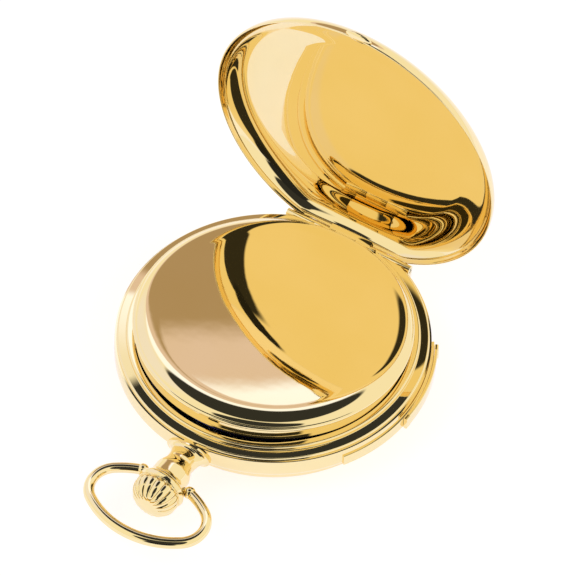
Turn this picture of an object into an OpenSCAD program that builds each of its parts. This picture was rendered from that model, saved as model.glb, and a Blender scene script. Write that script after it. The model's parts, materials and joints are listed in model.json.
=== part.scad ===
// Hunting-case repeater pocket watch, dial side down, back cover open
// Origin: where the case axis meets the flat of the front cover. +Z towards the back of the watch,
// -Y towards the pendant, +X towards the repeating slide. Millimetres.

/* [Movement] */
// Radius of the main plate
movement_r = 21.6; // [21.2:0.1:22]
// Thickness of the main plate
plate_t = 1.4; // [1.2:0.1:1.6]
// Height of the space between the main plate and the bridges
train_h = 2.4; // [2.3:0.05:2.6]
// Thickness of the bridges and cocks
bridge_t = 1.2; // [1:0.1:1.3]
// Thickness of the ratchet wheel and the crown wheel
winding_wheel_t = 0.6; // [0.4:0.05:0.65]
// Height of the space for the repeating work under the dial
under_dial_h = 1.6; // [1.4:0.1:1.8]
// Radius of the balance wheel
balance_r = 5.6; // [5.2:0.1:5.8]
// Radius of the wire of the gongs
gong_wire_r = 0.25; // [0.2:0.01:0.28]

/* [Dial side] */
// Thickness of the dial
dial_t = 0.6; // [0.5:0.05:0.7]
// Radius of the dial
dial_r = 21.3; // [20.8:0.1:21.5]
// Height of the space for the hands
hands_h = 1.6; // [1.55:0.05:1.8]
// Thickness of the crystal
crystal_t = 0.9; // [0.7:0.05:1]
// Radius of the clear part of the crystal
crystal_r = 21; // [20.5:0.1:21.3]
// Air between the crystal and the front cover
crystal_gap = 0.5; // [0.4:0.05:0.6]
// Length of the minute hand
minute_hand_l = 18.6; // [17:0.1:19.5]
// Length of the hour hand
hour_hand_l = 12.4; // [11:0.1:13.5]
// Length of the seconds hand
seconds_hand_l = 4.6; // [4:0.1:5]

/* [Case] */
// Width of the gong space around the main plate
gong_space = 1.3; // [1.2:0.05:1.5]
// Width of the ledge that the skirt of the inner cover drops on
ledge_w = 1.05; // [0.9:0.05:1.2]
// Wall of the collar that the inner cover closes
collar_wall = 1.25; // [1.1:0.05:1.4]
// Height of the collar above the shoulder
collar_h = 1.65; // [1.5:0.05:1.8]
// Width from the collar to the outside of the shoulder
shoulder_w = 2; // [1.8:0.05:2.2]
// Width of the rebate outside the flange
rebate_w = 0.35; // [0.3:0.05:0.45]
// Height of the flange inside the rebate
flange_h = 0.7; // [0.5:0.05:0.8]
// Height of the band between its two shoulders
band_h = 5; // [4.9:0.05:5.2]
// How far the band bulges past its back shoulder
band_bulge = 0.25; // [0.2:0.05:0.35]
// Radius of the turn at which the band curves under
band_turn_r = 1.6; // [1.4:0.05:1.7]
// Angle at which the band dips under that turn
band_dip = 48; // [44:1:50]
// Radius of the front cover
front_r = 25.4; // [25.2:0.05:25.5]
// Depth of the front cover from its rim to its flat
front_depth = 4.2; // [4.1:0.05:4.5]
// Radius of the flat of the front cover
front_flat_r = 19; // [17:0.1:20]

/* [Covers] */
// Wall of the outer covers
cover_wall = 0.45; // [0.4:0.05:0.55]
// Wall of the inner cover
cuvette_wall = 0.45; // [0.35:0.05:0.5]
// Depth of the skirt of the inner cover
skirt_h = 2.2; // [1.8:0.1:2.3]
// Radial fit of the skirt in the collar
skirt_fit = 0.15; // [0.1:0.01:0.2]
// Height of the bead around the inner cover
bead_h = 0.9; // [0.7:0.05:1]
// Rise of the inner cover above its bead
cuvette_rise = 1.4; // [1.2:0.05:1.5]
// Angle at which the unsnapped inner cover rests ajar
cuvette_ajar = 3.5; // [2:0.1:4]
// Angle at which the back cover stands open
back_open = 90; // [60:1:92]
// Radius of the barrel of the back cover's hinge
hinge_r = 0.75; // [0.65:0.05:0.85]
// Radius of the pins of the outer hinges
hinge_pin_r = 0.3; // [0.2:0.02:0.36]
// Length of the back cover's hinge
hinge_l = 24.9; // [22:0.1:26]
// Distance of the back cover's hinge axis from the case axis
hinge_y = 25.3; // [25.2:0.05:25.6]
// Radius of the barrel of the front cover's hinge
front_hinge_r = 0.6; // [0.55:0.05:0.65]
// Length of the front cover's hinge
front_hinge_l = 14.4; // [12:0.3:15]
// Distance of the front cover's hinge axis from the case axis
front_hinge_y = 25; // [24.9:0.05:25.1]
// Radius of the barrel of the inner cover's hinge
small_hinge_r = 0.5; // [0.42:0.02:0.55]
// Radius of the pin of the inner cover's hinge
small_pin_r = 0.2; // [0.15:0.01:0.25]
// Length of the inner cover's hinge
small_hinge_l = 12; // [10:0.1:13]
// Width of the thumb lip on the back cover
lip_w = 4.6; // [3.5:0.1:6]

/* [Pendant, crown and bow] */
// Radius of the base of the pendant
pendant_base_r = 4.2; // [3.8:0.1:4.5]
// Radius of the waist of the pendant
pendant_waist_r = 2.7; // [2.5:0.1:2.9]
// Radius of the collar that carries the bow
pendant_collar_r = 3.5; // [3.2:0.1:3.6]
// Length of the pendant outside the band
pendant_l = 8.1; // [7.6:0.1:8.6]
// Radius of the winding stem
stem_r = 0.8; // [0.7:0.05:0.95]
// Radius of the crown
crown_r = 4.25; // [4:0.05:4.4]
// Length of the crown
crown_l = 5.3; // [5:0.1:5.6]
// Number of flutes around the crown
crown_flutes = 16; // [12:1:20]
// How far the crown pulls out to set the hands
crown_pull = 0.9; // [0.6:0.05:1]
// Half width of the bow at the middle of its wire
bow_a = 10.85; // [10.4:0.05:11.5]
// Half length of the bow at the middle of its wire
bow_b = 6.6; // [6.3:0.05:7]
// Radius of the bow's wire
bow_wire_r = 1; // [0.8:0.05:1.1]

/* [Repeating slide] */
// Angle from +X to the end of the grip away from the pendant
slide_start = 30; // [26:1:34]
// Angle that the grip covers
slide_span = 35.5; // [30:0.5:36]
// Angle that the slide travels towards the pendant
slide_travel = 26; // [20:1:26]
// Height of the grip
slide_h = 2.6; // [2.2:0.1:2.8]
// Thickness of the grip
slide_t = 0.7; // [0.5:0.05:0.9]
// Thickness of the guide plate that stands proud of the band
rail_t = 0.3; // [0.2:0.05:0.4]

/* [Fits] */
// Radial clearance of a turning fit
run_fit = 0.04; // [0.02:0.01:0.08]
// Clearance between surfaces that pass each other
pass_gap = 0.1; // [0.08:0.01:0.2]

/* [Hidden] */
$fn = 64;

// Radii, from the movement outwards
bore_r = movement_r + gong_space;
collar_in = bore_r + ledge_w;
collar_out = collar_in + collar_wall;
case_r = collar_out + shoulder_w;
flange_r = case_r - rebate_w;
skirt_r = collar_in - skirt_fit;
bead_r = skirt_r + 0.4;
cover_r = case_r + 0.1;
rim_wall = cover_r - flange_r - 0.05;
front_flange_r = front_r - rim_wall - 0.05;

// Heights, from the front cover up
z_band = front_depth + pass_gap;
z_shoulder = z_band + band_h;
z_mid = z_band + band_h / 2 + 0.2;
z_collar = z_shoulder + collar_h;
z_ledge = z_collar - skirt_h - pass_gap;
z_bead = z_collar + bead_h;
z_cuvette = z_bead + cuvette_rise;
cover_air = 0.3;
back_depth = z_cuvette + cover_air + cover_wall - z_shoulder - pass_gap;
z_crystal = cover_wall + crystal_gap;
z_hands = z_crystal + crystal_t;
z_dial = z_hands + hands_h;
z_under = z_dial + dial_t;
z_plate = z_under + under_dial_h;
z_train = z_plate + plate_t;
z_bridge = z_train + train_h;
z_top = z_bridge + bridge_t;

// Outer hinges: each axis lies a little inside the band's shoulder
hinge_drop = 0.25;
back_hinge_z = z_shoulder - hinge_drop;
front_hinge_z = z_band + hinge_drop;
hinge_gap = 0.06;
knuckle_l = hinge_l / 3;
front_knuckle_l = front_hinge_l / 3;
seat_y = hinge_y - hinge_r - 2 * pass_gap;
inner_hinge_y = seat_y - small_hinge_r - pass_gap;
inner_hinge_z = z_collar + small_hinge_r - 0.1;
small_knuckle_l = small_hinge_l / 3;
eps = 0.01;

// Turning a shape by an angle about an axis along X through y, z
module about_x(y, z, angle) {
  translate([0, y, z]) rotate([angle, 0, 0]) translate([0, -y, -z]) children();
}

// A cylinder along X between two ends
module bar_x(x0, x1, y, z, r) {
  translate([x0, y, z]) rotate([0, 90, 0]) cylinder(r = r, h = x1 - x0);
}

// A cylinder along -Y between two distances from the case axis
module bar_y(y0, y1, z, r) {
  translate([0, -y0, z]) rotate([90, 0, 0]) cylinder(r = r, h = y1 - y0);
}

// A block between two corners
module block(low, high) {
  translate(low) cube(high - low);
}

// A ring sector between two radii, two heights and two angles
module sector(r0, r1, z0, z1, a0, a1) {
  rotate([0, 0, a0]) rotate_extrude(angle = a1 - a0)
    polygon([[r0, z0], [r1, z0], [r1, z1], [r0, z1]]);
}

// A ring between two radii and two heights
module ring(r0, r1, z0, z1) {
  difference() {
    translate([0, 0, z0]) cylinder(r = r1, h = z1 - z0);
    translate([0, 0, z0 - 1]) cylinder(r = r0, h = z1 - z0 + 2);
  }
}

// A round post at a point
module post(at, r, z0, z1) {
  translate([at[0], at[1], z0]) cylinder(r = r, h = z1 - z0);
}

// The points of an arc
function arc(centre, r, a0, a1, n) =
  [for (i = [0 : n]) let (a = a0 + (a1 - a0) * i / n) centre + r * [cos(a), sin(a)]];

// Outline of a dished cover from its axis to its rim: a crown of one radius, then a round shoulder
function dish(r, depth, shoulder, crown) =
  let (
    big = (r * r + crown * crown) / (2 * crown),
    edge = depth - crown
  )
  concat(
    [for (i = [0 : 14])
      let (x = (r - shoulder) * i / 14) [x, edge + sqrt(big * big - x * x) - big + crown]],
    [for (i = [1 : 12])
      let (
        a = 90 * i / 12,
        top = edge + sqrt(big * big - pow(r - shoulder, 2)) - big + crown,
        down = min(shoulder, top - 0.3)
      )
      [r - shoulder + shoulder * sin(a), top - down * (1 - cos(a))]]
  );

// Watch-wheel teeth: pointed teeth on a root circle
module toothed(n, m, tooth = 0.4, tip = 0.8) {
  pitch_r = n * m / 2;
  step = 360 / n;
  root = pitch_r - 1.35 * m;
  top = pitch_r + tip * m;
  polygon([for (i = [0 : n - 1])
    each [
      root * [cos((i - 0.5) * step), sin((i - 0.5) * step)],
      root * [cos((i - tooth / 2 - 0.04) * step), sin((i - tooth / 2 - 0.04) * step)],
      pitch_r * [cos((i - tooth / 2) * step), sin((i - tooth / 2) * step)],
      top * [cos((i - tooth / 5) * step), sin((i - tooth / 5) * step)],
      top * [cos((i + tooth / 5) * step), sin((i + tooth / 5) * step)],
      pitch_r * [cos((i + tooth / 2) * step), sin((i + tooth / 2) * step)],
      root * [cos((i + tooth / 2 + 0.04) * step), sin((i + tooth / 2 + 0.04) * step)]
    ]
  ]);
}

// A wheel with arms between its rim and its hub
module armed_wheel(n, m, h, arms, hub, rim) {
  pitch_r = n * m / 2;
  inside = pitch_r - 1.35 * m - rim;
  linear_extrude(h) difference() {
    toothed(n, m);
    for (i = [0 : arms - 1]) rotate(i * 360 / arms) difference() {
      intersection() {
        circle(inside);
        polygon([
          [0, 0], (inside + 1) * 2 * [1, 0],
          (inside + 1) * 2 * [cos(180 / arms), sin(180 / arms)],
          (inside + 1) * 2 * [cos(360 / arms), sin(360 / arms)]
        ]);
      }
      circle(hub);
      translate([0, -rim / 2]) square([inside + 1, rim]);
      rotate(360 / arms) translate([0, -rim / 2]) square([inside + 1, rim]);
    }
  }
}

// Places of the going train. Each wheel lies at the pitch distance from the one that drives it.
train_m = 0.2;
third_m = 0.17;
fourth_m = 0.14;
barrel_teeth = 84;
centre_leaves = 12;
centre_teeth = 80;
third_leaves = 10;
third_teeth = 75;
fourth_leaves = 10;
fourth_teeth = 70;
escape_leaves = 7;
escape_teeth = 15;
escape_r = 3.4;
barrel_turn = 205;
barrel_at = train_m * (barrel_teeth + centre_leaves) / 2 * [cos(barrel_turn), sin(barrel_turn)];
fourth_at = [10.2, 0];
centre_third = train_m * (centre_teeth + third_leaves) / 2;
third_fourth = third_m * (third_teeth + fourth_leaves) / 2;
third_turn = acos((pow(centre_third, 2) + pow(fourth_at[0], 2) - pow(third_fourth, 2))
  / (2 * centre_third * fourth_at[0]));
third_at = centre_third * [cos(third_turn), sin(third_turn)];
escape_turn = -60;
fourth_escape = fourth_m * (fourth_teeth + escape_leaves) / 2;
escape_at = fourth_at + fourth_escape * [cos(escape_turn), sin(escape_turn)];
balance_turn = -115;
escape_balance = 8.1;
balance_at = escape_at + escape_balance * [cos(balance_turn), sin(balance_turn)];
fork_at = escape_at + (escape_r + 1.15) * [cos(balance_turn), sin(balance_turn)];
arbor_r = 0.3;
pivot_r = 0.16;
seconds_r = 0.13;
hammer_pivot_r = 0.45;

// Places of the winding work
ratchet_teeth = 50;
crown_teeth = 34;
winding_m = 0.22;
ratchet_crown = winding_m * (ratchet_teeth + crown_teeth) / 2;
crown_wheel_at = [0, barrel_at[1] - sqrt(pow(ratchet_crown, 2) - pow(barrel_at[0], 2))];
contrate_teeth = 24;
contrate_m = 0.28;
contrate_r = contrate_m * (contrate_teeth / 2 + 0.8);
click_at = barrel_at + 7.4 * [cos(120), sin(120)];
stem_z = z_mid;

// Places of the repeating work. The rack turns about the case axis with the slide.
gong_r = movement_r + gong_space / 2;
rack_m = 0.25;
rack_teeth = 130;
strike_leaves = 10;
strike_turn = 97;
strike_at = rack_m * (rack_teeth - strike_leaves) / 2 * [cos(strike_turn), sin(strike_turn)];
governor_at = [-12.6, 9.6];
gong_block_turn = 52;
hammer_head = 1.35;
hammer_reach = 5.55;
hour_hammer_at = [8.87, 16.7];
hour_turn = 147.7;
quarter_hammer_at = [14.25, 11.96];
quarter_turn = -42.6;

// Feet of the bridges and of the balance cock, and places of the case screws
barrel_posts = [[-17.5, -9], [-18.4, 1.6], [-4.6, -18.6]];
train_posts = [[18, 3.4], [9.3, 13.5], [17.6, -7.2]];
strike_posts = [[-18.4, 7.6], [-7.4, 17.9], [-7.6, 7.6]];
cock_foot = [4.6, -18.8];
post_r = 1.15;
case_screw_turns = [34, 150, 240];

// Places of the motion work
cannon_leaves = 12;
minute_teeth = 36;
minute_leaves = 10;
hour_teeth = 40;
motion_m = 0.18;
motion_run = motion_m * (cannon_leaves + minute_teeth) / 2;
hour_m = motion_run * 2 / (minute_leaves + hour_teeth);
minute_turn = 150;
minute_wheel_at = motion_run * [cos(minute_turn), sin(minute_turn)];
cannon_r = 0.62;
hour_pipe_r = 1.25;

// CASE

// Widest place of the band, and where its turn runs out into the cone under it
band_out = case_r + band_bulge;
dip_r = band_out - band_turn_r * (1 - cos(band_dip));
band_foot_r = front_r;
z_dip = z_band + (dip_r - band_foot_r) / tan(band_dip);
z_wide = z_dip + band_turn_r * sin(band_dip);

// Half section of the band's body: a slight bulge, a turn under and a cone down to the front cover
module band_face() {
  rise = z_shoulder - z_wide;
  big = (rise * rise + band_bulge * band_bulge) / (2 * band_bulge);
  top = asin(rise / big);
  polygon(concat(
    [[bore_r, z_shoulder]],
    arc([band_out - big, z_wide], big, top, 0, 8),
    arc([band_out - band_turn_r, z_wide], band_turn_r, -band_dip / 8, -band_dip, 7),
    [[band_foot_r, z_band], [bore_r, z_band]]
  ));
}

// Section of the band with its two shoulders, the flanges and the collar
module band_section() {
  difference() {
    union() {
      band_face();
      polygon([
        [bore_r, z_shoulder - 1], [flange_r, z_shoulder - 1],
        [flange_r, z_shoulder + flange_h - 0.15], [flange_r - 0.15, z_shoulder + flange_h],
        [collar_out + 0.1, z_shoulder + flange_h + 0.15], [collar_out, z_collar - 0.3],
        [collar_out - 0.3, z_collar], [collar_in, z_collar], [bore_r, z_shoulder + flange_h]
      ]);
      polygon([
        [bore_r, z_band + 1], [bore_r, z_band - flange_h],
        [front_flange_r - 0.15, z_band - flange_h],
        [front_flange_r, z_band - flange_h + 0.15], [front_flange_r, z_band + 1]
      ]);
    }
    translate([0, z_ledge]) square([collar_in, collar_h + skirt_h + 2]);
    translate([0, z_band - flange_h - 1]) square([bezel_r + run_fit, flange_h + 1 + bezel_seat]);
  }
}

// Straight bar that an outer hinge sits on, and the knuckles that belong to the band
module band_hinge(axis, r, l, side) {
  bar = 1.6;
  third = l / 3;
  z0 = axis[1] - side * 0.2;
  z1 = axis[1] - side * (r + bar);
  difference() {
    union() {
      block([-l / 2, axis[0] - r - bar - 0.2, min(z0, z1)], [l / 2, axis[0] + r - 0.25, max(z0, z1)]);
      for (s = [-1, 1]) {
        x0 = s < 0 ? -l / 2 : third / 2 + hinge_gap;
        bar_x(x0, x0 + third - hinge_gap, axis[0], axis[1], r);
      }
    }
    bar_x(-third / 2 - hinge_gap, third / 2 + hinge_gap, axis[0], axis[1], r + pass_gap);
  }
}

// Space in the band for a cover's knuckle and for the cover near the hinge
module hinge_space(axis, r, l, side) {
  far = 6;
  third = l / 3;
  z0 = axis[1] - side * 0.15;
  z1 = axis[1] + side * far;
  block([-l / 2 - 1, axis[0] - r - 2 * pass_gap, min(z0, z1)], [l / 2 + 1, case_r + 2, max(z0, z1)]);
  bar_x(-third / 2 - hinge_gap / 2, third / 2 + hinge_gap / 2, axis[0], axis[1], r + 2 * pass_gap);
}

module case_band() {
  color("goldenrod") difference() {
    union() {
      difference() {
        rotate_extrude($fn = 180) band_section();
        hinge_space([hinge_y, back_hinge_z], hinge_r, hinge_l, 1);
        hinge_space([front_hinge_y, front_hinge_z], front_hinge_r, front_hinge_l, -1);
      }
      intersection() {
        union() {
          band_hinge([hinge_y, back_hinge_z], hinge_r, hinge_l, 1);
          band_hinge([front_hinge_y, front_hinge_z], front_hinge_r, front_hinge_l, -1);
          inner_hinge_lugs();
        }
        difference() {
          translate([0, 0, z_band - 2]) cylinder(r = case_r + 3, h = 14);
          cylinder(r = bore_r, h = 30);
          cylinder(r = bezel_r + run_fit, h = z_band + bezel_seat);
        }
      }
    }
    bar_x(-small_knuckle_l / 2, small_knuckle_l / 2, inner_hinge_y, inner_hinge_z,
      small_hinge_r + pass_gap);
    bar_x(-hinge_l, hinge_l, hinge_y, back_hinge_z, hinge_pin_r + 0.02);
    bar_x(-hinge_l, hinge_l, front_hinge_y, front_hinge_z, hinge_pin_r + 0.02);
    bar_x(-small_hinge_l, small_hinge_l, inner_hinge_y, inner_hinge_z, small_pin_r + 0.02);
    bar_y(bore_r - 2, case_r + 1, stem_z, spigot_r + run_fit);
    sector(bore_r - 1, rail_in + 0.4, stem_z - slot_h / 2, stem_z + slot_h / 2,
      tongue_a0 - slide_travel - 1, tongue_a1 + 1);
    sector(rail_in, case_r + 2, stem_z - rail_h / 2 - 0.02, stem_z + rail_h / 2 + 0.02,
      rail_a0 - 0.1, rail_a1 + 0.1);
  }
}

// Lugs on the collar that carry the inner cover's hinge
module inner_hinge_lugs() {
  difference() {
    for (s = [-1, 1]) {
      x0 = s < 0 ? -small_hinge_l / 2 : small_knuckle_l / 2 + hinge_gap;
      x1 = x0 + small_knuckle_l - hinge_gap;
      bar_x(x0, x1, inner_hinge_y, inner_hinge_z, small_hinge_r);
      block([x0, inner_hinge_y - small_hinge_r + 0.1, z_ledge], [x1, seat_y, inner_hinge_z]);
    }
    block([-30, 0, z_ledge - 3], [30, bore_r - 4, z_collar + 5]);
  }
}

// A dished outer cover, closed, with its rim down at z = 0 and its dome up
module outer_cover(depth, shoulder, crown) {
  outer = dish(cover_r, depth, shoulder, crown);
  inner = dish(cover_r - rim_wall, depth - cover_wall, shoulder - 0.2, crown);
  difference() {
    rotate_extrude($fn = 180) difference() {
      polygon(concat(outer, [[cover_r, 0], [0, 0]]));
      polygon(concat(inner, [[cover_r - rim_wall, -1], [0, -1]]));
    }
    block([-30, hinge_y, -1], [30, 40, 20]);
  }
}

// Straight wall and knuckle that join an outer cover to its hinge, closed, rim at z = 0
module cover_hinge(depth, shoulder, crown, axis_z) {
  wall = 0.55;
  half = sqrt(pow(cover_r, 2) - pow(hinge_y, 2));
  intersection() {
    rotate_extrude($fn = 180)
      polygon(concat(dish(cover_r, depth, shoulder, crown), [[cover_r, 0], [0, 0]]));
    block([-half, hinge_y - wall, 0], [half, hinge_y, depth]);
  }
  bar_x(-knuckle_l / 2 + hinge_gap / 2, knuckle_l / 2 - hinge_gap / 2, hinge_y, axis_z, hinge_r);
  block([-knuckle_l / 2 + hinge_gap / 2, hinge_y - hinge_r, axis_z],
    [knuckle_l / 2 - hinge_gap / 2, hinge_y, 1]);
}

// Spaces that an outer cover leaves around the band's knuckles, the pin and the pendant
module cover_clearances(axis_z) {
  for (s = [-1, 1]) {
    x0 = s < 0 ? -hinge_l / 2 - 1 : knuckle_l / 2;
    bar_x(x0, x0 + knuckle_l + 1, hinge_y, axis_z, hinge_r + pass_gap);
    block([x0, hinge_y - hinge_r - pass_gap, -2], [x0 + knuckle_l + 1, hinge_y + 2, axis_z]);
  }
  bar_x(-hinge_l, hinge_l, hinge_y, axis_z, hinge_pin_r + run_fit);
}

back_shoulder = 3.6;
back_crown = 0.85;

module back_cover() {
  rim_z = z_shoulder + pass_gap;
  color("gold") about_x(hinge_y, back_hinge_z, -back_open) translate([0, 0, rim_z]) {
    difference() {
      union() {
        outer_cover(back_depth, back_shoulder, back_crown);
        cover_hinge(back_depth, back_shoulder, back_crown, back_hinge_z - rim_z);
        thumb_lip();
      }
      cover_clearances(back_hinge_z - rim_z);
    }
  }
}

// Small lip opposite the hinge that a thumbnail lifts
module thumb_lip() {
  lip_out = 1;
  lip_t = 0.7;
  intersection() {
    translate([0, 0, 0.1]) rotate_extrude($fn = 180)
      polygon([
        [cover_r - 0.4, 0], [cover_r + lip_out - 0.2, 0.1], [cover_r + lip_out, 0.35],
        [cover_r + lip_out - 0.3, lip_t], [cover_r - 0.4, lip_t + 0.4]
      ]);
    block([-lip_w / 2, -40, -1], [lip_w / 2, 0, 5]);
  }
}

// Closed front cover: the dish turned over, its flat on the table
module front_cover() {
  color("gold") difference() {
    union() {
      difference() {
        rotate_extrude($fn = 180) difference() {
          front_outline(0);
          front_outline(1);
        }
        block([-30, front_hinge_y, -1], [30, 40, 20]);
      }
      half = sqrt(pow(front_r, 2) - pow(front_hinge_y, 2));
      intersection() {
        rotate_extrude($fn = 180) front_outline(0);
        block([-half, front_hinge_y - 0.55, 0], [half, front_hinge_y, front_depth]);
      }
      bar_x(-front_knuckle_l / 2 + hinge_gap / 2, front_knuckle_l / 2 - hinge_gap / 2,
        front_hinge_y, front_hinge_z, front_hinge_r);
      block([-front_knuckle_l / 2 + hinge_gap / 2, front_hinge_y - front_hinge_r, front_depth - 1],
        [front_knuckle_l / 2 - hinge_gap / 2, front_hinge_y, front_hinge_z]);
    }
    for (s = [-1, 1]) {
      x0 = s < 0 ? -front_hinge_l / 2 - 1 : front_knuckle_l / 2;
      bar_x(x0, x0 + front_knuckle_l + 1, front_hinge_y, front_hinge_z, front_hinge_r + pass_gap);
    }
    bar_x(-front_hinge_l, front_hinge_l, front_hinge_y, front_hinge_z, hinge_pin_r + run_fit);
  }
}

// Half section of the front cover, outside or inside its wall
module front_outline(inside) {
  r = front_r - inside * rim_wall;
  low = inside * cover_wall;
  run = r - front_flat_r;
  polygon(concat(
    [[0, low], [front_flat_r, low]],
    [for (i = [1 : 12]) let (a = 90 * i / 12)
      [front_flat_r + run * sin(a), low + (front_depth - 0.8) * (1 - cos(a))]],
    [[r, front_depth + inside], [0, front_depth + inside]]
  ));
}

module back_hinge_pin() {
  color("khaki") bar_x(-hinge_l / 2, hinge_l / 2, hinge_y, back_hinge_z, hinge_pin_r);
}

module front_hinge_pin() {
  color("khaki") bar_x(-front_hinge_l / 2, front_hinge_l / 2, front_hinge_y, front_hinge_z,
    hinge_pin_r);
}

module inner_hinge_pin() {
  color("khaki") bar_x(-small_hinge_l / 2, small_hinge_l / 2, inner_hinge_y, inner_hinge_z,
    small_pin_r);
}

// Inner cover: dome, bead, skirt and hinge knuckle, unsnapped and resting a little ajar
module inner_cover() {
  shoulder = 2.6;
  top = cuvette_rise + bead_h;
  outer = dish(bead_r - 0.25, top, shoulder, 0.55);
  inner = dish(bead_r - 0.25 - cuvette_wall, top - cuvette_wall, shoulder - 0.2, 0.55);
  color("gold") about_x(inner_hinge_y, inner_hinge_z, -cuvette_ajar) difference() {
    union() {
      difference() {
        translate([0, 0, z_collar + 0.03]) rotate_extrude($fn = 180) difference() {
          union() {
            polygon(concat(outer, [[bead_r - 0.25, 0], [0, 0]]));
            translate([bead_r - 0.42, bead_h / 2]) circle(bead_h / 2 - 0.03, $fn = 48);
          }
          polygon(concat(inner, [[bead_r - 0.25 - cuvette_wall, -1], [0, -1]]));
        }
        block([-30, inner_hinge_y, 0], [30, 40, 30]);
      }
      difference() {
        ring(skirt_r - cuvette_wall, skirt_r, z_collar - skirt_h + 0.03, z_collar + 0.3);
        block([-30, skirt_end, 0], [30, 40, 30]);
      }
      half = sqrt(pow(bead_r - 0.3, 2) - pow(inner_hinge_y, 2));
      block([-small_knuckle_l / 2 + hinge_gap / 2, inner_hinge_y - 0.6, z_collar + 0.1],
        [small_knuckle_l / 2 - hinge_gap / 2, inner_hinge_y, z_collar + bead_h]);
      bar_x(-small_knuckle_l / 2 + hinge_gap / 2, small_knuckle_l / 2 - hinge_gap / 2,
        inner_hinge_y, inner_hinge_z, small_hinge_r);
    }
    for (s = [-1, 1]) {
      x0 = s < 0 ? -small_hinge_l / 2 - 0.3 : small_knuckle_l / 2;
      bar_x(x0, x0 + small_knuckle_l + 0.3, inner_hinge_y, inner_hinge_z, small_hinge_r + pass_gap);
      block([x0, inner_hinge_y - small_hinge_r - pass_gap, z_collar - 3],
        [x0 + small_knuckle_l + 0.3, 40, inner_hinge_z]);
    }
    bar_x(-small_hinge_l, small_hinge_l, inner_hinge_y, inner_hinge_z, small_pin_r + run_fit);
  }
}
skirt_end = 16.5;

// Ring that holds the crystal, snapped into the dial side of the band
bezel_r = 24;
bezel_seat = 0.5;

module bezel() {
  color("gold") rotate_extrude($fn = 180) polygon([
    [crystal_r, z_crystal + 0.1], [crystal_r + 0.4, z_crystal - 0.15],
    [bezel_r - 0.8, z_crystal + 0.8], [bezel_r, z_crystal + 1.6],
    [bezel_r, z_band + bezel_seat - 0.02], [bore_r + 0.1, z_band + bezel_seat - 0.02],
    [crystal_r + 0.6, z_dial - 0.02], [crystal_r + 0.6, z_hands + 0.02],
    [crystal_r + 0.6, z_crystal + 0.25], [crystal_r, z_crystal + 0.25]
  ]);
}

module crystal() {
  color("azure") ring_disc(crystal_r + 0.6 - 0.02, z_crystal + 0.27, z_hands);
}

// A plain disc between two heights
module ring_disc(r, z0, z1) {
  translate([0, 0, z0]) cylinder(r = r, h = z1 - z0);
}

// Steel springs in the band that lift and lock the front cover
module lift_spring() {
  color("slategray") {
    sector(bore_r - 0.5, bore_r - 0.2, z_under + 0.8, z_under + 1.9, 100, 160);
    sector(bore_r - 0.5, bore_r - 0.02, z_under + 0.8, z_under + 1.9, 100, 106);
  }
}

module lock_spring() {
  color("slategray") {
    sector(bore_r - 0.5, bore_r - 0.2, z_under + 0.8, z_under + 1.9, 190, 258);
    sector(bore_r - 0.5, bore_r - 0.02, z_under + 0.8, z_under + 1.9, 190, 196);
  }
}

// Screws that hold the movement and the two springs in the band
module case_screws() {
  color("steelblue") for (a = case_screw_turns) rotate([0, 0, a])
    translate([movement_r - 0.9, 0, z_plate + 0.2]) slotted_screw(1.15, 0.45, 0.5, plate_t - 0.3);
}

// A screw with a slotted head, its shaft down from z = 0
module slotted_screw(head_r, head_h, shaft_r, shaft_l) {
  difference() {
    union() {
      translate([0, 0, shaft_l]) cylinder(r = head_r, h = head_h);
      cylinder(r = shaft_r, h = shaft_l + eps);
    }
    block([-head_r - 1, -0.12, shaft_l + head_h * 0.5], [head_r + 1, 0.12, shaft_l + head_h + 1]);
  }
}

// PENDANT, CROWN AND BOW

pendant_y = band_out + 0.05;
pendant_root = 2.6;
pendant_end = pendant_y + pendant_l;
bow_pivot_y = pendant_end - 1;
spigot_r = 1.7;
bow_pin_r = 0.5;

module pendant() {
  waist = pendant_y + 2.6;
  color("gold") difference() {
    union() {
      intersection() {
        translate([0, 0, stem_z]) rotate([90, 0, 0]) rotate_extrude($fn = 96) polygon(concat(
          [[0, pendant_y - pendant_root], [pendant_base_r, pendant_y - pendant_root],
            [pendant_base_r, pendant_y + 0.35]],
          [for (i = [1 : 10]) let (a = 90 * i / 10)
            [pendant_base_r - (pendant_base_r - pendant_waist_r) * sin(a),
              pendant_y + 0.35 + 2.25 * (1 - cos(a))]],
          [for (i = [1 : 8]) let (a = 180 * i / 8)
            [pendant_waist_r + (pendant_collar_r - pendant_waist_r) * (1 - cos(a)) / 2,
              waist + 1.6 * i / 8]],
          [[pendant_collar_r, pendant_end - 0.3], [pendant_collar_r - 0.3, pendant_end],
            [0, pendant_end]]
        ));
        union() {
          translate([0, 0, z_band + 0.08]) cylinder(r = 60, h = band_h - 0.16);
          block([-10, -60, -5], [10, -pendant_y - 1, 30]);
        }
      }
      bar_y(bore_r + 0.4, pendant_y + 0.1, stem_z, spigot_r);
    }
    difference() {
      rotate_extrude($fn = 180) translate([0.04, 0]) {
        band_face();
        translate([0, z_band - 1]) square([bore_r + 1, band_h + 2]);
      }
      bar_y(0, pendant_y, stem_z, spigot_r + eps);
    }
    bar_y(0, pendant_end + 1, stem_z, stem_r + run_fit);
    bar_x(-10, 10, -bow_pivot_y, stem_z, bow_pin_r + run_fit);
  }
}

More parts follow.
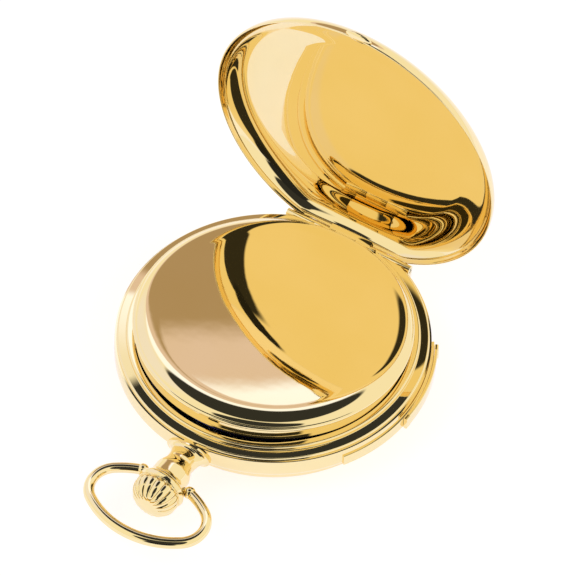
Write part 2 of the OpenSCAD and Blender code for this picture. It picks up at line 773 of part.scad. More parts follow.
// The oval of the bow: two small arcs at its sides and two large ones, joined by short sleeves
bow_small = 4.6;
bow_large = (pow(bow_a - bow_small, 2) + pow(bow_b, 2) - pow(bow_small, 2))
  / (2 * (bow_b - bow_small));
bow_join = atan2(bow_large - bow_b, bow_a - bow_small);
bow_ball_r = bow_wire_r + 0.1;
bow_open = pendant_collar_r + bow_ball_r + 0.05;
bow_rise = sqrt(pow(bow_large, 2) - pow(bow_open, 2)) - (bow_large - bow_b);
bow_centre = bow_pivot_y + bow_rise;
bow_sleeve_r = bow_wire_r + 0.04;
bow_sleeve_l = 0.5;
bow_setback = 0.05;

module bow_arc(at, r, a0, a1) {
  cut = bow_setback / r * 180 / PI;
  translate([at[0], at[1], 0]) rotate([0, 0, a0 + cut]) rotate_extrude(angle = a1 - a0 - 2 * cut)
    translate([r, 0]) circle(bow_wire_r, $fn = 40);
}

// Short sleeve over the place where two arcs meet
module bow_sleeve(at, r, a) {
  translate([at[0], at[1], 0]) rotate([0, 0, a]) translate([r, 0, 0]) rotate([90, 0, 0])
    cylinder(r = bow_sleeve_r, h = bow_sleeve_l, center = true);
}

module bow() {
  end = acos(bow_open / bow_large);
  near = [0, -(bow_large - bow_b)];
  color("gold") translate([0, -bow_centre, stem_z]) {
    bow_arc([0, bow_large - bow_b], bow_large, 180 + bow_join, 360 - bow_join);
    for (s = [-1, 1]) {
      side = [s * (bow_a - bow_small), 0];
      bow_arc(side, bow_small, (s > 0 ? 0 : 180) - bow_join, (s > 0 ? 0 : 180) + bow_join);
      bow_arc(near, bow_large, s > 0 ? bow_join : 180 - end, s > 0 ? end : 180 - bow_join);
      for (t = [-1, 1]) bow_sleeve(side, bow_small, (s > 0 ? 0 : 180) + t * bow_join);
      translate([s * bow_open, bow_rise, 0]) sphere(r = bow_ball_r);
    }
  }
  color("gold") for (s = [-1, 1]) {
    x0 = s > 0 ? pendant_collar_r - 1.4 : -bow_open;
    bar_x(x0, x0 + bow_open - pendant_collar_r + 1.4, -bow_pivot_y, stem_z, bow_pin_r);
  }
}

crown_y = pendant_end + 0.25;

module crown() {
  flute = 0.62;
  color("gold") translate([0, -crown_y, stem_z]) rotate([90, 0, 0]) difference() {
    rotate_extrude($fn = 96) polygon(concat(
      [[0, 0], [crown_r - 0.7, 0], [crown_r - 0.15, 0.4], [crown_r, 0.9]],
      [[crown_r, crown_l - 1.9]],
      [for (i = [1 : 8]) let (a = 90 * i / 8)
        [crown_r - 1.6 + 1.6 * cos(a), crown_l - 1.9 + 1.3 * sin(a)]],
      [[0, crown_l]]
    ));
    for (i = [0 : crown_flutes - 1]) rotate([0, 0, i * 360 / crown_flutes])
      translate([crown_r + 0.35, 0, -1]) cylinder(r = flute, h = crown_l + 2, $fn = 24);
    translate([0, 0, -1]) cylinder(r = stem_r, h = crown_l / 2 + 1);
  }
}

// Stem with its groove for the detent and the winding pinion at its inner end
detent_y = movement_r - 6.1;
pinion_y0 = -crown_wheel_at[1] + contrate_r + 0.05;

module winding_stem() {
  color("silver") {
    difference() {
      bar_y(pinion_y0 - 1.5, crown_y + crown_l / 2 - 0.02, stem_z, stem_r);
      difference() {
        bar_y(detent_y - 0.5, detent_y + 0.5, stem_z, stem_r + 1);
        bar_y(detent_y - 1, detent_y + 1, stem_z, stem_r - 0.35);
      }
    }
    translate([0, -pinion_y0, stem_z]) rotate([90, 0, 0])
      linear_extrude(1.4) toothed(12, 0.3);
  }
}

// Detent whose nose sits in the stem's groove
module stem_detent() {
  color("slategray") {
    block([-5.6, -detent_y - 0.4, stem_z - 0.35], [-1.9, -detent_y + 0.4, stem_z + 0.35]);
    block([-2, -detent_y - 0.35, stem_z - 0.3], [-stem_r + 0.3, -detent_y + 0.35, stem_z + 0.3]);
  }
}

// REPEATING SLIDE

slot_h = 1;
rail_h = slide_h - 0.3;
rail_in = case_r - 0.15;
rail_out = band_out + rail_t;
rail_a1 = slide_start + 1.5;
rail_a0 = slide_start - slide_span - slide_travel - 1.5;
tongue_a0 = slide_start - slide_span / 2 - 4;
tongue_a1 = tongue_a0 + 8;
pin_at = movement_r - 0.9;
pin_turn = (tongue_a0 + tongue_a1) / 2;
slide_pin_r = 0.4;
z_rack = z_under + 0.35;

// Plate on the band that the slide runs on
module slide_rail() {
  color("gold") difference() {
    sector(rail_in + 0.01, rail_out, stem_z - rail_h / 2, stem_z + rail_h / 2, rail_a0, rail_a1);
    sector(rail_in - 1, rail_out + 1, stem_z - slot_h / 2, stem_z + slot_h / 2,
      tongue_a0 - slide_travel - 1, tongue_a1 + 1);
  }
}

// Grip with its tongue through the band to the repeating rack
module repeater_slide() {
  inner = rail_out + 0.04;
  outer = inner + slide_t;
  half = slide_h / 2;
  color("gold") {
    rotate([0, 0, slide_start - slide_span]) rotate_extrude(angle = slide_span) polygon([
      [inner, stem_z - half], [outer - 0.2, stem_z - half], [outer, stem_z - half + 0.3],
      [outer, stem_z + half - 0.3], [outer - 0.2, stem_z + half], [inner, stem_z + half]
    ]);
    sector(pin_at - 0.5, inner + 0.1, stem_z - slot_h / 2 + 0.15, stem_z + slot_h / 2 - 0.15,
      tongue_a0, tongue_a1);
    rotate([0, 0, pin_turn]) post([pin_at, 0], slide_pin_r, z_rack, stem_z);
  }
}

// MOVEMENT

module main_plate() {
  color("tan") difference() {
    union() {
      ring_disc(movement_r, z_plate, z_train);
      ring(dial_r - 1.3, movement_r, z_under, z_plate + eps);
      ring(movement_r - 1, bore_r - 0.05, z_plate + 0.2, z_plate + 0.8);
      for (a = [50, 84]) rotate([0, 0, a])
        post([rack_out + guide_r + run_fit, 0], guide_r, z_rack, z_plate + eps);
      rotate([0, 0, 40]) post([rack_in - guide_r - run_fit, 0], guide_r, z_rack, z_plate + eps);
    }
    post([0, 0], 0.7, z_plate - 1, z_train + 1);
    post([0, 0], centre_leaves * train_m / 2 + 0.3, z_train - 0.4, z_train + 1);
    post(balance_at, balance_r + 0.5, z_train - 0.5, z_train + 1);
    post(barrel_at, train_m * barrel_teeth / 2 + 0.5, z_train - 0.4, z_train + 1);
    for (p = [third_at, fourth_at, escape_at, fork_at, balance_at, barrel_at, governor_at])
      post(p, pivot_r + run_fit, z_plate - 1, z_train + 1);
    for (p = [strike_at, minute_wheel_at])
      post(p, arbor_r + run_fit, z_plate - 1, z_train + 1);
    for (p = [hour_hammer_at, quarter_hammer_at])
      post(p, hammer_pivot_r + run_fit, z_train - 0.5, z_train + 1);
    block([-2.4, -movement_r - 2, z_under - 1], [2.4, -pinion_y0 + 1.5, z_train + 1]);
    block([-6, -detent_y - crown_pull - 1, z_under - 1], [2, -detent_y + 1, stem_z + 1.2]);
    for (a = case_screw_turns) rotate([0, 0, a]) {
      post([movement_r - 0.9, 0], 0.52, z_under - 1, z_train + 1);
      post([movement_r - 0.9, 0], 1.2, z_train - 0.1, z_train + 1);
    }
    sector(movement_r - 2, bore_r + 1, z_under - 1, stem_z + 1, tongue_a0 - slide_travel - 3,
      tongue_a1 + 3);
    sector(movement_r - 0.2, bore_r + 1, z_plate - 3, z_train + 1, 96, 162);
    sector(movement_r - 0.2, bore_r + 1, z_plate - 3, z_train + 1, 186, 262);
  }
}

// A bridge outline: a strip with round ends between points, wide at each
module strip2d(points, w) {
  for (i = [0 : len(points) - 2]) hull() {
    translate(points[i]) circle(w, $fn = 32);
    translate(points[i + 1]) circle(w, $fn = 32);
  }
}

// Holes for the screws of a bridge, with a seat for the head
module screw_holes(spots, top) {
  for (p = spots) {
    post(p, 0.52, z_bridge - 0.4, top + 1);
    post(p, 1, top - 0.5, top + 1);
  }
}

// Bridge over the barrel and the crown wheel, cut from a disc with a round side
module barrel_bridge() {
  color("silver") difference() {
    union() {
      translate([0, 0, z_bridge]) linear_extrude(bridge_t) difference() {
        intersection() {
          circle(movement_r - 0.6);
          translate([-30, -30]) square([32, 33.5]);
        }
        translate(balance_at) circle(balance_r + 0.5);
      }
      for (p = barrel_posts) post(p, post_r, z_train, z_bridge + eps);
    }
    post(barrel_at, 1.1 + run_fit, z_bridge - 1, z_top + 1);
    post(crown_wheel_at, 2.4 + run_fit, z_bridge - 1, z_top + 1);
    post([0, 0], 0.6, z_bridge - 1, z_top + 1);
    post(click_at, 0.4 + run_fit, z_bridge - 1, z_top + 1);
    block([-1.6, -pinion_y0 - 1.8, z_bridge - 1], [1.6, -pinion_y0 + 0.6, z_top + 1]);
    screw_holes(barrel_posts, z_top);
  }
}

// Bridge over the centre, third, fourth and escape wheels
module train_bridge() {
  color("silver") difference() {
    union() {
      translate([0, 0, z_bridge]) linear_extrude(bridge_t) difference() {
        intersection() {
          circle(movement_r - 0.6);
          translate([2.2, -12]) square([30, 27.2]);
        }
        translate(balance_at) circle(balance_r + 0.5);
        translate(crown_wheel_at) circle(2.6);
        translate(quarter_hammer_at) rotate(quarter_turn) {
          circle(1.5);
          translate([0, -1.5]) square([hammer_reach, 3]);
          translate([hammer_reach, 0]) circle(hammer_head + 0.9);
        }
        rotate(gong_block_turn) translate([movement_r - 3.6, -3]) square([5, 6]);
      }
      for (p = train_posts) post(p, post_r, z_train, z_bridge + eps);
    }
    for (p = [third_at, fourth_at, escape_at]) post(p, jewel_r, z_bridge - 1, z_top + 1);
    screw_holes(train_posts, z_top);
  }
}

// Bridge over the strike wheel and the governor
module strike_bridge() {
  color("silver") difference() {
    union() {
      translate([0, 0, z_bridge]) linear_extrude(bridge_t) intersection() {
        circle(movement_r - 0.6);
        translate([-30, 3.7]) square([31.9, 30]);
      }
      for (p = strike_posts) post(p, post_r, z_train, z_bridge + eps);
    }
    for (p = [strike_at, governor_at]) post(p, jewel_r, z_bridge - 1, z_top + 1);
    screw_holes(strike_posts, z_top);
  }
}

// Cock over the balance, standing on one foot
jewel_r = 0.73;

module balance_cock() {
  foot = cock_foot;
  top = z_top + 0.15;
  color("silver") difference() {
    union() {
      translate([0, 0, z_bridge + 0.15]) linear_extrude(bridge_t) {
        hull() {
          translate(balance_at) circle(2.2, $fn = 32);
          translate(foot) circle(1.9, $fn = 32);
        }
      }
      post(foot, 1.6, z_train, z_bridge + 0.2);
    }
    post(balance_at, jewel_r, z_bridge - 1, top + 1);
    screw_holes([foot], top);
  }
}

module fork_cock() {
  foot = fork_at + [3.6, -1.6];
  color("silver") difference() {
    union() {
      translate([0, 0, z_train + 1.12]) linear_extrude(0.3) strip2d([fork_at, foot], 0.7);
      post(foot, 0.65, z_train - 0.5, z_train + 1.2);
    }
    post(fork_at, pivot_r + run_fit, z_train, z_bridge);
  }
}

// Mainspring barrel: a toothed drum with its arbor
module mainspring_barrel() {
  color("khaki") translate([barrel_at[0], barrel_at[1], 0]) {
    translate([0, 0, z_train - 0.3]) rotate([0, 0, barrel_turn]) linear_extrude(0.5)
      difference() {
        toothed(barrel_teeth, train_m);
        circle(arbor_r * 2);
      }
    ring(arbor_r * 2, train_m * barrel_teeth / 2 - 0.5, z_train + 0.15, z_train + 1.05);
    translate([0, 0, z_plate + 0.1]) cylinder(r = pivot_r, h = 1.2);
    translate([0, 0, z_train - 0.35]) cylinder(r = arbor_r * 2, h = z_bridge - z_train + 0.25);
  }
}

module ratchet_wheel() {
  color("silver") translate([barrel_at[0], barrel_at[1], 0]) {
    translate([0, 0, z_top + 0.05]) rotate([0, 0, ratchet_turn]) linear_extrude(winding_wheel_t)
      toothed(ratchet_teeth, winding_m);
    translate([0, 0, z_bridge - 0.02]) cylinder(r = 1.1, h = bridge_t + 0.1);
  }
}
to_crown = crown_wheel_at - barrel_at;
ratchet_turn = atan2(to_crown[1], to_crown[0]);

// Crown wheel: flat teeth for the ratchet and a hub through the bridge
module crown_wheel() {
  color("silver") translate([crown_wheel_at[0], crown_wheel_at[1], 0]) {
    translate([0, 0, z_top + 0.05]) rotate([0, 0, ratchet_turn + 180 + 180 / crown_teeth])
      linear_extrude(winding_wheel_t) toothed(crown_teeth, winding_m);
    translate([0, 0, z_bridge - 0.3]) cylinder(r = 2.4, h = bridge_t + 0.4);
    translate([0, 0, z_bridge - 0.75]) linear_extrude(0.5)
      toothed(contrate_teeth, contrate_m);
  }
}

// Click with its nose just clear of the ratchet
module click() {
  reach = winding_m * ratchet_teeth / 2 + 0.5;
  color("slategray") {
    post(click_at, 0.4, z_bridge + 0.2, z_top + 0.1);
    translate([0, 0, z_top + 0.05]) linear_extrude(0.5) difference() {
      strip2d([click_at, barrel_at + (reach + 0.8) * [cos(140), sin(140)]], 0.62);
      translate(barrel_at) circle(winding_m * (ratchet_teeth / 2 + 0.8) + pass_gap);
    }
  }
}

module arbor(at, z0, z1) {
  post(at, arbor_r, z_train + 0.12, z_bridge - 0.12);
  post(at, pivot_r, z0, z1);
}

module centre_wheel() {
  color("khaki") {
    translate([0, 0, z_train + 1.2]) rotate([0, 0, third_turn])
      armed_wheel(centre_teeth, train_m, 0.25, 5, 1.3, 0.5);
    translate([0, 0, z_train - 0.35]) rotate([0, 0, barrel_turn + 180 + 180 / centre_leaves])
      linear_extrude(0.7) toothed(centre_leaves, train_m);
    post([0, 0], 0.55, z_train + 0.3, z_bridge + bridge_t - 0.1);
    post([0, 0], 0.4, z_under - 0.2, z_train);
  }
}

module third_wheel() {
  to_fourth = fourth_at - third_at;
  color("khaki") translate([third_at[0], third_at[1], 0]) {
    translate([0, 0, z_train + 0.65]) rotate([0, 0, atan2(to_fourth[1], to_fourth[0])])
      armed_wheel(third_teeth, third_m, 0.28, 5, 0.9, 0.4);
    translate([0, 0, z_train + 1]) rotate([0, 0, third_turn + 180 + 180 / third_leaves])
      linear_extrude(0.6) toothed(third_leaves, train_m);
    arbor([0, 0], z_train - 0.6, z_bridge + 0.4);
  }
}

module fourth_wheel() {
  to_third = third_at - fourth_at;
  color("khaki") translate([fourth_at[0], fourth_at[1], 0]) {
    translate([0, 0, z_train + 1.75]) rotate([0, 0, escape_turn])
      armed_wheel(fourth_teeth, fourth_m, 0.25, 4, 0.9, 0.35);
    translate([0, 0, z_train + 0.5])
      rotate([0, 0, atan2(to_third[1], to_third[0]) + 180 / fourth_leaves])
      linear_extrude(0.6) toothed(fourth_leaves, third_m);
    arbor([0, 0], z_train - 0.6, z_bridge + 0.4);
    post([0, 0], seconds_r, z_dial - 0.45, z_train);
  }
}

// Escape wheel: club teeth leaning forward
module escape_wheel() {
  color("goldenrod") translate([escape_at[0], escape_at[1], 0]) {
    translate([0, 0, z_train + 0.75]) linear_extrude(0.25) difference() {
      polygon([for (i = [0 : escape_teeth - 1])
        let (s = 360 / escape_teeth, a = i * s)
        each [
          (escape_r - 1) * [cos(a - 0.35 * s), sin(a - 0.35 * s)],
          (escape_r - 1) * [cos(a), sin(a)],
          (escape_r - 0.15) * [cos(a + 0.2 * s), sin(a + 0.2 * s)],
          escape_r * [cos(a + 0.3 * s), sin(a + 0.3 * s)],
          (escape_r - 0.25) * [cos(a + 0.34 * s), sin(a + 0.34 * s)]
        ]
      ]);
      for (i = [0 : 3]) rotate(i * 90 + 45) translate([1.4, 0]) circle(0.55, $fn = 24);
    }
    translate([0, 0, z_train + 1.6]) rotate([0, 0, escape_turn + 180 + 180 / escape_leaves])
      linear_extrude(0.55) toothed(escape_leaves, fourth_m);
    arbor([0, 0], z_train - 0.6, z_bridge + 0.4);
  }
}

// Pallet fork between the escape wheel and the balance
module pallet_fork() {
  color("silver") translate([fork_at[0], fork_at[1], 0]) rotate([0, 0, balance_turn]) {
    translate([0, 0, z_train + 0.7]) linear_extrude(0.35) {
      strip2d([[0, 0], [1.55, 0]], 0.2);
      difference() {
        translate([1.9, 0]) circle(0.55, $fn = 24);
        translate([2.25, 0]) circle(0.42, $fn = 24);
      }
      strip2d([[-0.75, -1.9], [0, 0], [-0.75, 1.9]], 0.22);
    }
    post([0, 0], pivot_r, z_train - 0.5, z_train + 1.4);
    post([0, 0], 0.34, z_train + 0.3, z_train + 1.1);
  }
}

// Compensation balance with its timing screws
balance_screws = 14;

module balance_wheel() {
  color("goldenrod") translate([balance_at[0], balance_at[1], 0]) {
    ring(balance_r - 0.7, balance_r, z_train + 1.5, z_train + 2);
    translate([0, 0, z_train + 1.55]) linear_extrude(0.35) {
      translate([-balance_r + 0.4, -0.4]) square([2 * balance_r - 0.8, 0.8]);
      circle(1);
    }
    for (i = [0 : balance_screws - 1]) rotate([0, 0, (i + 0.5) * 360 / balance_screws])
      translate([balance_r - 0.05, 0, z_train + 1.75]) rotate([0, 90, 0])
      cylinder(r = 0.24, h = 0.42, $fn = 24);
    post([0, 0], pivot_r, z_train - 0.9, z_bridge + 0.5);
    post([0, 0], 0.42, z_train + 1.48, z_bridge - 0.06);
  }
}

// Hairspring: one flat ribbon that winds out from the collet to the stud
hair_turns = 9;
hair_in = 0.75;
hair_out = 3.9;
hair_t = 0.06;

function spiral(a, side) =
  (hair_in + (hair_out - hair_in) * a / (360 * hair_turns) + side * hair_t / 2) * [cos(a), sin(a)];

module hairspring() {
  step = 20;
  last = 360 * hair_turns;
  color("steelblue") translate([balance_at[0], balance_at[1], z_train + 2.1]) linear_extrude(0.2)
    polygon(concat(
      [for (a = [0 : step : last]) spiral(a, 1)],
      [for (a = [last : -step : 0]) spiral(a, -1)]
    ));
}

// Regulator on the cock, with its index
module regulator() {
  color("slategray") translate([balance_at[0], balance_at[1], z_top + 0.17]) linear_extrude(0.3)
    difference() {
      union() {
        circle(1.5, $fn = 48);
        rotate(60) translate([0, -0.22]) square([4.8, 0.44]);
      }
      circle(jewel_r, $fn = 48);
    }
}

// Jewels in the bridges, with the pivots in their holes
module bridge_jewels() {
  color("crimson") for (p = [third_at, fourth_at, escape_at, strike_at, governor_at])
    difference() {
      post(p, jewel_r, z_bridge + 0.2, z_top);
      post(p, pivot_r + run_fit, z_bridge - 1, z_top - 0.2);
    }
  color("crimson") difference() {
    post(balance_at, jewel_r, z_bridge + 0.35, z_top + 0.3);
    post(balance_at, pivot_r + run_fit, z_bridge - 1, z_top);
  }
}

module bridge_screws() {
  color("steelblue") {
    for (p = concat(barrel_posts, train_posts, strike_posts))
      translate([p[0], p[1], z_bridge - 0.35]) slotted_screw(0.95, 0.4, 0.48, bridge_t - 0.15);
    translate([cock_foot[0], cock_foot[1], z_bridge - 0.2])
      slotted_screw(0.95, 0.4, 0.48, bridge_t - 0.15);
  }
}

// Wheel of the strike train, wound by the slide
strike_teeth = 44;
strike_m = 0.2;

module strike_wheel() {
  color("khaki") translate([strike_at[0], strike_at[1], 0]) {
    translate([0, 0, z_train + 1.5]) armed_wheel(strike_teeth, strike_m, 0.3, 5, 1.3, 0.5);
    translate([0, 0, z_rack - 0.1]) rotate([0, 0, strike_turn]) linear_extrude(0.7)
      toothed(strike_leaves, rack_m);
    post([0, 0], arbor_r, z_rack, z_bridge - 0.12);
    post([0, 0], pivot_r, z_bridge - 0.2, z_bridge + 0.6);
    post([0, 0], 0.9, z_train + 0.6, z_bridge - 0.2);
  }
}

// Governor that sets the speed of the strike
module strike_governor() {
  color("khaki") translate([governor_at[0], governor_at[1], 0]) {
    translate([0, 0, z_train + 1.2]) linear_extrude(0.6) difference() {
      circle(2.2);
      for (s = [-1, 1]) translate([0, s * 1.3]) circle(0.5, $fn = 24);
    }
    translate([0, 0, z_train + 0.4]) linear_extrude(0.7) toothed(8, 0.16);
    arbor([0, 0], z_train - 0.6, z_bridge + 0.6);
  }
}

// Rack that the slide's tongue pushes, under the dial
rack_out = rack_m * rack_teeth / 2 + 1.5;
rack_in = rack_m * rack_teeth / 2 - 0.8 * rack_m;
guide_r = 0.5;

// A pie slice between two angles
module pie(r, a0, a1) {
  steps = 12;
  polygon(concat([[0, 0]],
    [for (i = [0 : steps]) let (a = a0 + (a1 - a0) * i / steps) r * [cos(a), sin(a)]]));
}

module repeating_rack() {
  end = strike_turn + slide_travel + 4;
  color("slategray") translate([0, 0, z_rack]) linear_extrude(0.5) difference() {
    union() {
      intersection() {
        circle(rack_out, $fn = 128);
        pie(2 * rack_out, pin_turn - 4, end);
      }
      rotate(pin_turn) translate([rack_out - 1.5, -1]) square([pin_at + 0.8 - rack_out + 1.5, 2]);
    }
    circle(rack_in, $fn = 128);
    intersection() {
      rotate(strike_turn) toothed(rack_teeth, rack_m, 0.62, 1.3);
      pie(rack_out, strike_turn - 3.2 * 360 / rack_teeth, end + 5);
    }
    rotate(pin_turn) translate([pin_at, 0]) circle(slide_pin_r + run_fit);
  }
}

// A hammer: an arm with a heavy round head beside its gong, pivoted on the plate
module hammer(at, turn, top) {
  translate([at[0], at[1], 0]) rotate([0, 0, turn]) {
    translate([0, 0, z_hammer]) linear_extrude(0.6) {
      circle(0.75);
      translate([0, -0.45]) square([hammer_reach, 0.9]);
    }
    post([hammer_reach, 0], hammer_head, z_hammer, top);
    post([0, 0], hammer_pivot_r, z_train - 0.4, z_hammer + 0.1);
  }
}
z_hammer = z_bridge - 0.85;

module hour_hammer() {
  color("silver") hammer(hour_hammer_at, hour_turn, z_low_gong + 0.3);
}

module quarter_hammer() {
  color("silver") hammer(quarter_hammer_at, quarter_turn, z_high_gong + 0.3);
}

// Blade springs beside the two hammers
module hammer_spring(at, turn, side) {
  translate([at[0], at[1], z_train]) rotate([0, 0, turn]) {
    linear_extrude(z_hammer - z_train + 0.4) translate([-0.4, side * 1.35 - 0.12])
      square([2.6, 0.24]);
    translate([-0.4, side * 1.5, 0]) cylinder(r = 0.45, h = z_hammer - z_train + 0.4);
  }
}

module hammer_springs() {
  color("slategray") {
    hammer_spring(hour_hammer_at, hour_turn, 1);
    hammer_spring(quarter_hammer_at, quarter_turn, -1);
  }
}

// Block that both gongs are driven into
module gong_block() {
  color("slategray") rotate([0, 0, gong_block_turn]) {
    sector(movement_r - 3.2, gong_r + gong_wire_r + 0.1, z_train + 0.02, z_bridge + 1.3, -4, 4);
  }
}

// A gong: one wire bent round the movement, from the block to its free end
module gong(z, span) {
  rotate([0, 0, gong_block_turn + 4]) rotate_extrude(angle = span)
    translate([gong_r, z]) circle(gong_wire_r, $fn = 24);
}

z_high_gong = z_bridge - 0.2;
z_low_gong = z_bridge + 0.7;

module high_gong() {
  color("steelblue") gong(z_high_gong, 310);
}

module low_gong() {
  color("steelblue") gong(z_low_gong, 338);
}

// DIAL SIDE

// Cannon pinion on the centre arbor
module cannon_pinion() {
  color("silver") difference() {
    union() {
      translate([0, 0, z_under + 0.8]) rotate([0, 0, minute_turn + 180 / cannon_leaves])
        linear_extrude(0.48) toothed(cannon_leaves, motion_m);
      post([0, 0], cannon_r, z_dial - 1.15, z_plate - 0.05);
    }
    post([0, 0], 0.42, z_under - 0.3, z_plate);
  }
}

// Stepped snail that tells the strike work how many quarters to strike
module quarter_snail() {
  color("slategray") translate([0, 0, z_under + 1.3]) linear_extrude(0.2) difference() {
    union() for (i = [0 : 3]) pie(1.7 + 0.42 * i, 90 * i, 90 * i + 90);
    circle(cannon_r, $fn = 32);
  }
}

// Stepped snail with one step for each hour
module hour_snail() {
  color("slategray") translate([0, 0, z_under + 0.52]) linear_extrude(0.2) difference() {
    union() for (i = [0 : 11]) pie(1.55 + 0.13 * i, 30 * i, 30 * i + 30.01);
    circle(hour_pipe_r, $fn = 48);
  }
}

module minute_wheel() {
  at = minute_wheel_at;
  color("khaki") translate([at[0], at[1], 0]) {
    translate([0, 0, z_under + 0.95]) rotate([0, 0, minute_turn + 180]) linear_extrude(0.25)
      toothed(minute_teeth, motion_m);
    translate([0, 0, z_under + 0.1]) rotate([0, 0, minute_turn + 180 + 180 / minute_leaves])
      linear_extrude(0.9) toothed(minute_leaves, hour_m);
    post([0, 0], arbor_r, z_under + 0.1, z_plate + 0.6);
  }
}

module hour_wheel() {
  color("khaki") difference() {
    union() {
      translate([0, 0, z_under + 0.25]) rotate([0, 0, minute_turn]) linear_extrude(0.25)
        toothed(hour_teeth, hour_m);
      post([0, 0], 1.6, z_under + 0.2, z_under + 0.5);
    }
    post([0, 0], hour_pipe_r, z_under, z_plate);
  }
}

module dial() {
  color("white") difference() {
    union() {
      ring_disc(dial_r, z_dial, z_under);
      for (p = [[14.2, 13.2], [-14, -12]]) post(p, 0.5, z_under - eps, z_plate - 0.2);
    }
    post([0, 0], hour_pipe_r + 0.3, z_dial - 1, z_under + 1);
    post(fourth_at, 0.4, z_dial - 1, z_under + 1);
  }
}

// A hand: a boss with a tapering pointer towards a direction
module hand(length, turn, boss, hole, w) {
  linear_extrude(0.2) difference() {
    rotate(turn) union() {
      circle(boss, $fn = 32);
      polygon([[0, -w], [length * 0.62, -w * 1.3], [length, 0], [length * 0.62, w * 1.3], [0, w]]);
      translate([length * 0.62, 0]) circle(w * 2.2, $fn = 32);
    }
    circle(hole, $fn = 32);
  }
}

hour_hand_turn = 150;
minute_hand_turn = 240;
seconds_hand_turn = 20;

module hour_hand() {
  color("black") {
    translate([0, 0, z_dial - 0.75]) hand(hour_hand_l, hour_hand_turn, 1.5, 0.7, 0.35);
    ring(0.7, hour_pipe_r, z_dial - 0.6, z_under + 0.8);
  }
}

module minute_hand() {
  color("black") translate([0, 0, z_dial - 1.15]) hand(minute_hand_l, minute_hand_turn, 1.1, cannon_r, 0.28);
}

module seconds_hand() {
  color("black") translate([fourth_at[0], fourth_at[1], z_dial - 0.42])
    hand(seconds_hand_l, seconds_hand_turn, 0.5, seconds_r, 0.1);
}

case_band();
back_cover();
inner_cover();
front_cover();
back_hinge_pin();
inner_hinge_pin();
front_hinge_pin();
bezel();
crystal();
lift_spring();
lock_spring();
case_screws();
pendant();
bow();
crown();
winding_stem();
stem_detent();
slide_rail();
repeater_slide();
main_plate();
barrel_bridge();
train_bridge();
balance_cock();
fork_cock();
mainspring_barrel();
ratchet_wheel();
crown_wheel();
click();
centre_wheel();
third_wheel();
fourth_wheel();
escape_wheel();
pallet_fork();
balance_wheel();
hairspring();
regulator();
bridge_jewels();
bridge_screws();
strike_bridge();
strike_wheel();
strike_governor();
repeating_rack();
hour_hammer();
quarter_hammer();
hammer_springs();
gong_block();
high_gong();
low_gong();
cannon_pinion();
quarter_snail();
minute_wheel();
hour_wheel();
hour_snail();
dial();
hour_hand();
minute_hand();
seconds_hand();
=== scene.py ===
"""Looks of a hunting-case repeater pocket watch that lies dial side down with its back cover open.

The origin is where the case axis meets the flat of the front cover. +Z points to the back of the
watch and -Y to the pendant. Sizes are in millimetres and become metres when a piece is finished.
"""

import json
import logging
import math
from dataclasses import dataclass
from enum import Enum
from typing import Sequence

import bmesh
import bpy
from mathutils import Matrix, Vector


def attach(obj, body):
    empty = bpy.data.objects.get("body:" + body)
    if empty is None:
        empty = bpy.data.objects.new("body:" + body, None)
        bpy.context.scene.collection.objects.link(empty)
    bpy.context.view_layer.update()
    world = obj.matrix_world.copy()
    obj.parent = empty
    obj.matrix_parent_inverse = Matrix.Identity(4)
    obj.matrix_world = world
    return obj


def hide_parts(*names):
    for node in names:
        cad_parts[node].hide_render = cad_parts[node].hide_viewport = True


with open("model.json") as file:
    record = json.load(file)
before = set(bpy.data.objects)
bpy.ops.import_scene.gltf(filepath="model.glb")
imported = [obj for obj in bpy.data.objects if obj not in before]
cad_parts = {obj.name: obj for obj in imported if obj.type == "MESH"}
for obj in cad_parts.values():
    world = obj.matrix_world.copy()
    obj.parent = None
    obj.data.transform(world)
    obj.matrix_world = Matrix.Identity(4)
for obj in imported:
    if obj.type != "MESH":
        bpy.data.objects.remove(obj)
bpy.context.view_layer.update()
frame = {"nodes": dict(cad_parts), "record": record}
MM = 0.001
PLAY = 0.03  # Half of the play between two knuckles of a hinge
DISH_STEPS = 40  # Steps of a dish's dome, and of its shoulder
RIM_LEFT = 0.3  # Least height that a shoulder leaves above its rim
FILLET_SHARE = 0.48  # Largest share of a side that a fillet takes
WHITE = (1, 1, 1, 1)
Point = tuple[float, float]
Corner = tuple[float, float, float]
Shade = tuple[float, float, float]
Shape = bmesh.types.BMesh
Object = bpy.types.Object
Material = bpy.types.Material
Tree = bpy.types.NodeTree
Socket = bpy.types.NodeSocket
Groups = dict[str, Tree]
log = logging.getLogger("repeater_watch")


class Body(Enum):
    """Bodies of the watch that new pieces ride on."""

    CASE = "case"
    BACK_COVER = "back_cover"
    INNER_COVER = "inner_cover"
    FRONT_COVER = "front_cover"
    BOW = "bow"
    CROWN = "crown"
    SLIDE = "slide"


class Slot(Enum):
    """Material slots of the record."""

    GOLD = "gold"
    MOVEMENT_STEEL = "movement_steel"
    NICKEL = "nickel"
    BLUED_STEEL = "blued_steel"
    GILT_BRASS = "gilt_brass"
    ENAMEL = "enamel"
    CRYSTAL = "crystal"
    RUBY = "ruby"
    BLACK_STEEL = "black_steel"


# Outlines


def arc(centre: Point, radius: float, start: float, end: float, steps: int) -> list[Point]:
    """Gives the points of an arc in a half section.

    Args:
        centre: Radius and height of the arc's centre.
        radius: Radius of the arc.
        start: First angle in degrees, 0 pointing outwards and 90 up.
        end: Last angle in degrees.
        steps: Number of steps between the two.

    Returns:
        The points, both ends included.
    """
    turns = [math.radians(start + (end - start) * i / steps) for i in range(steps + 1)]
    return [(centre[0] + radius * math.cos(t), centre[1] + radius * math.sin(t)) for t in turns]


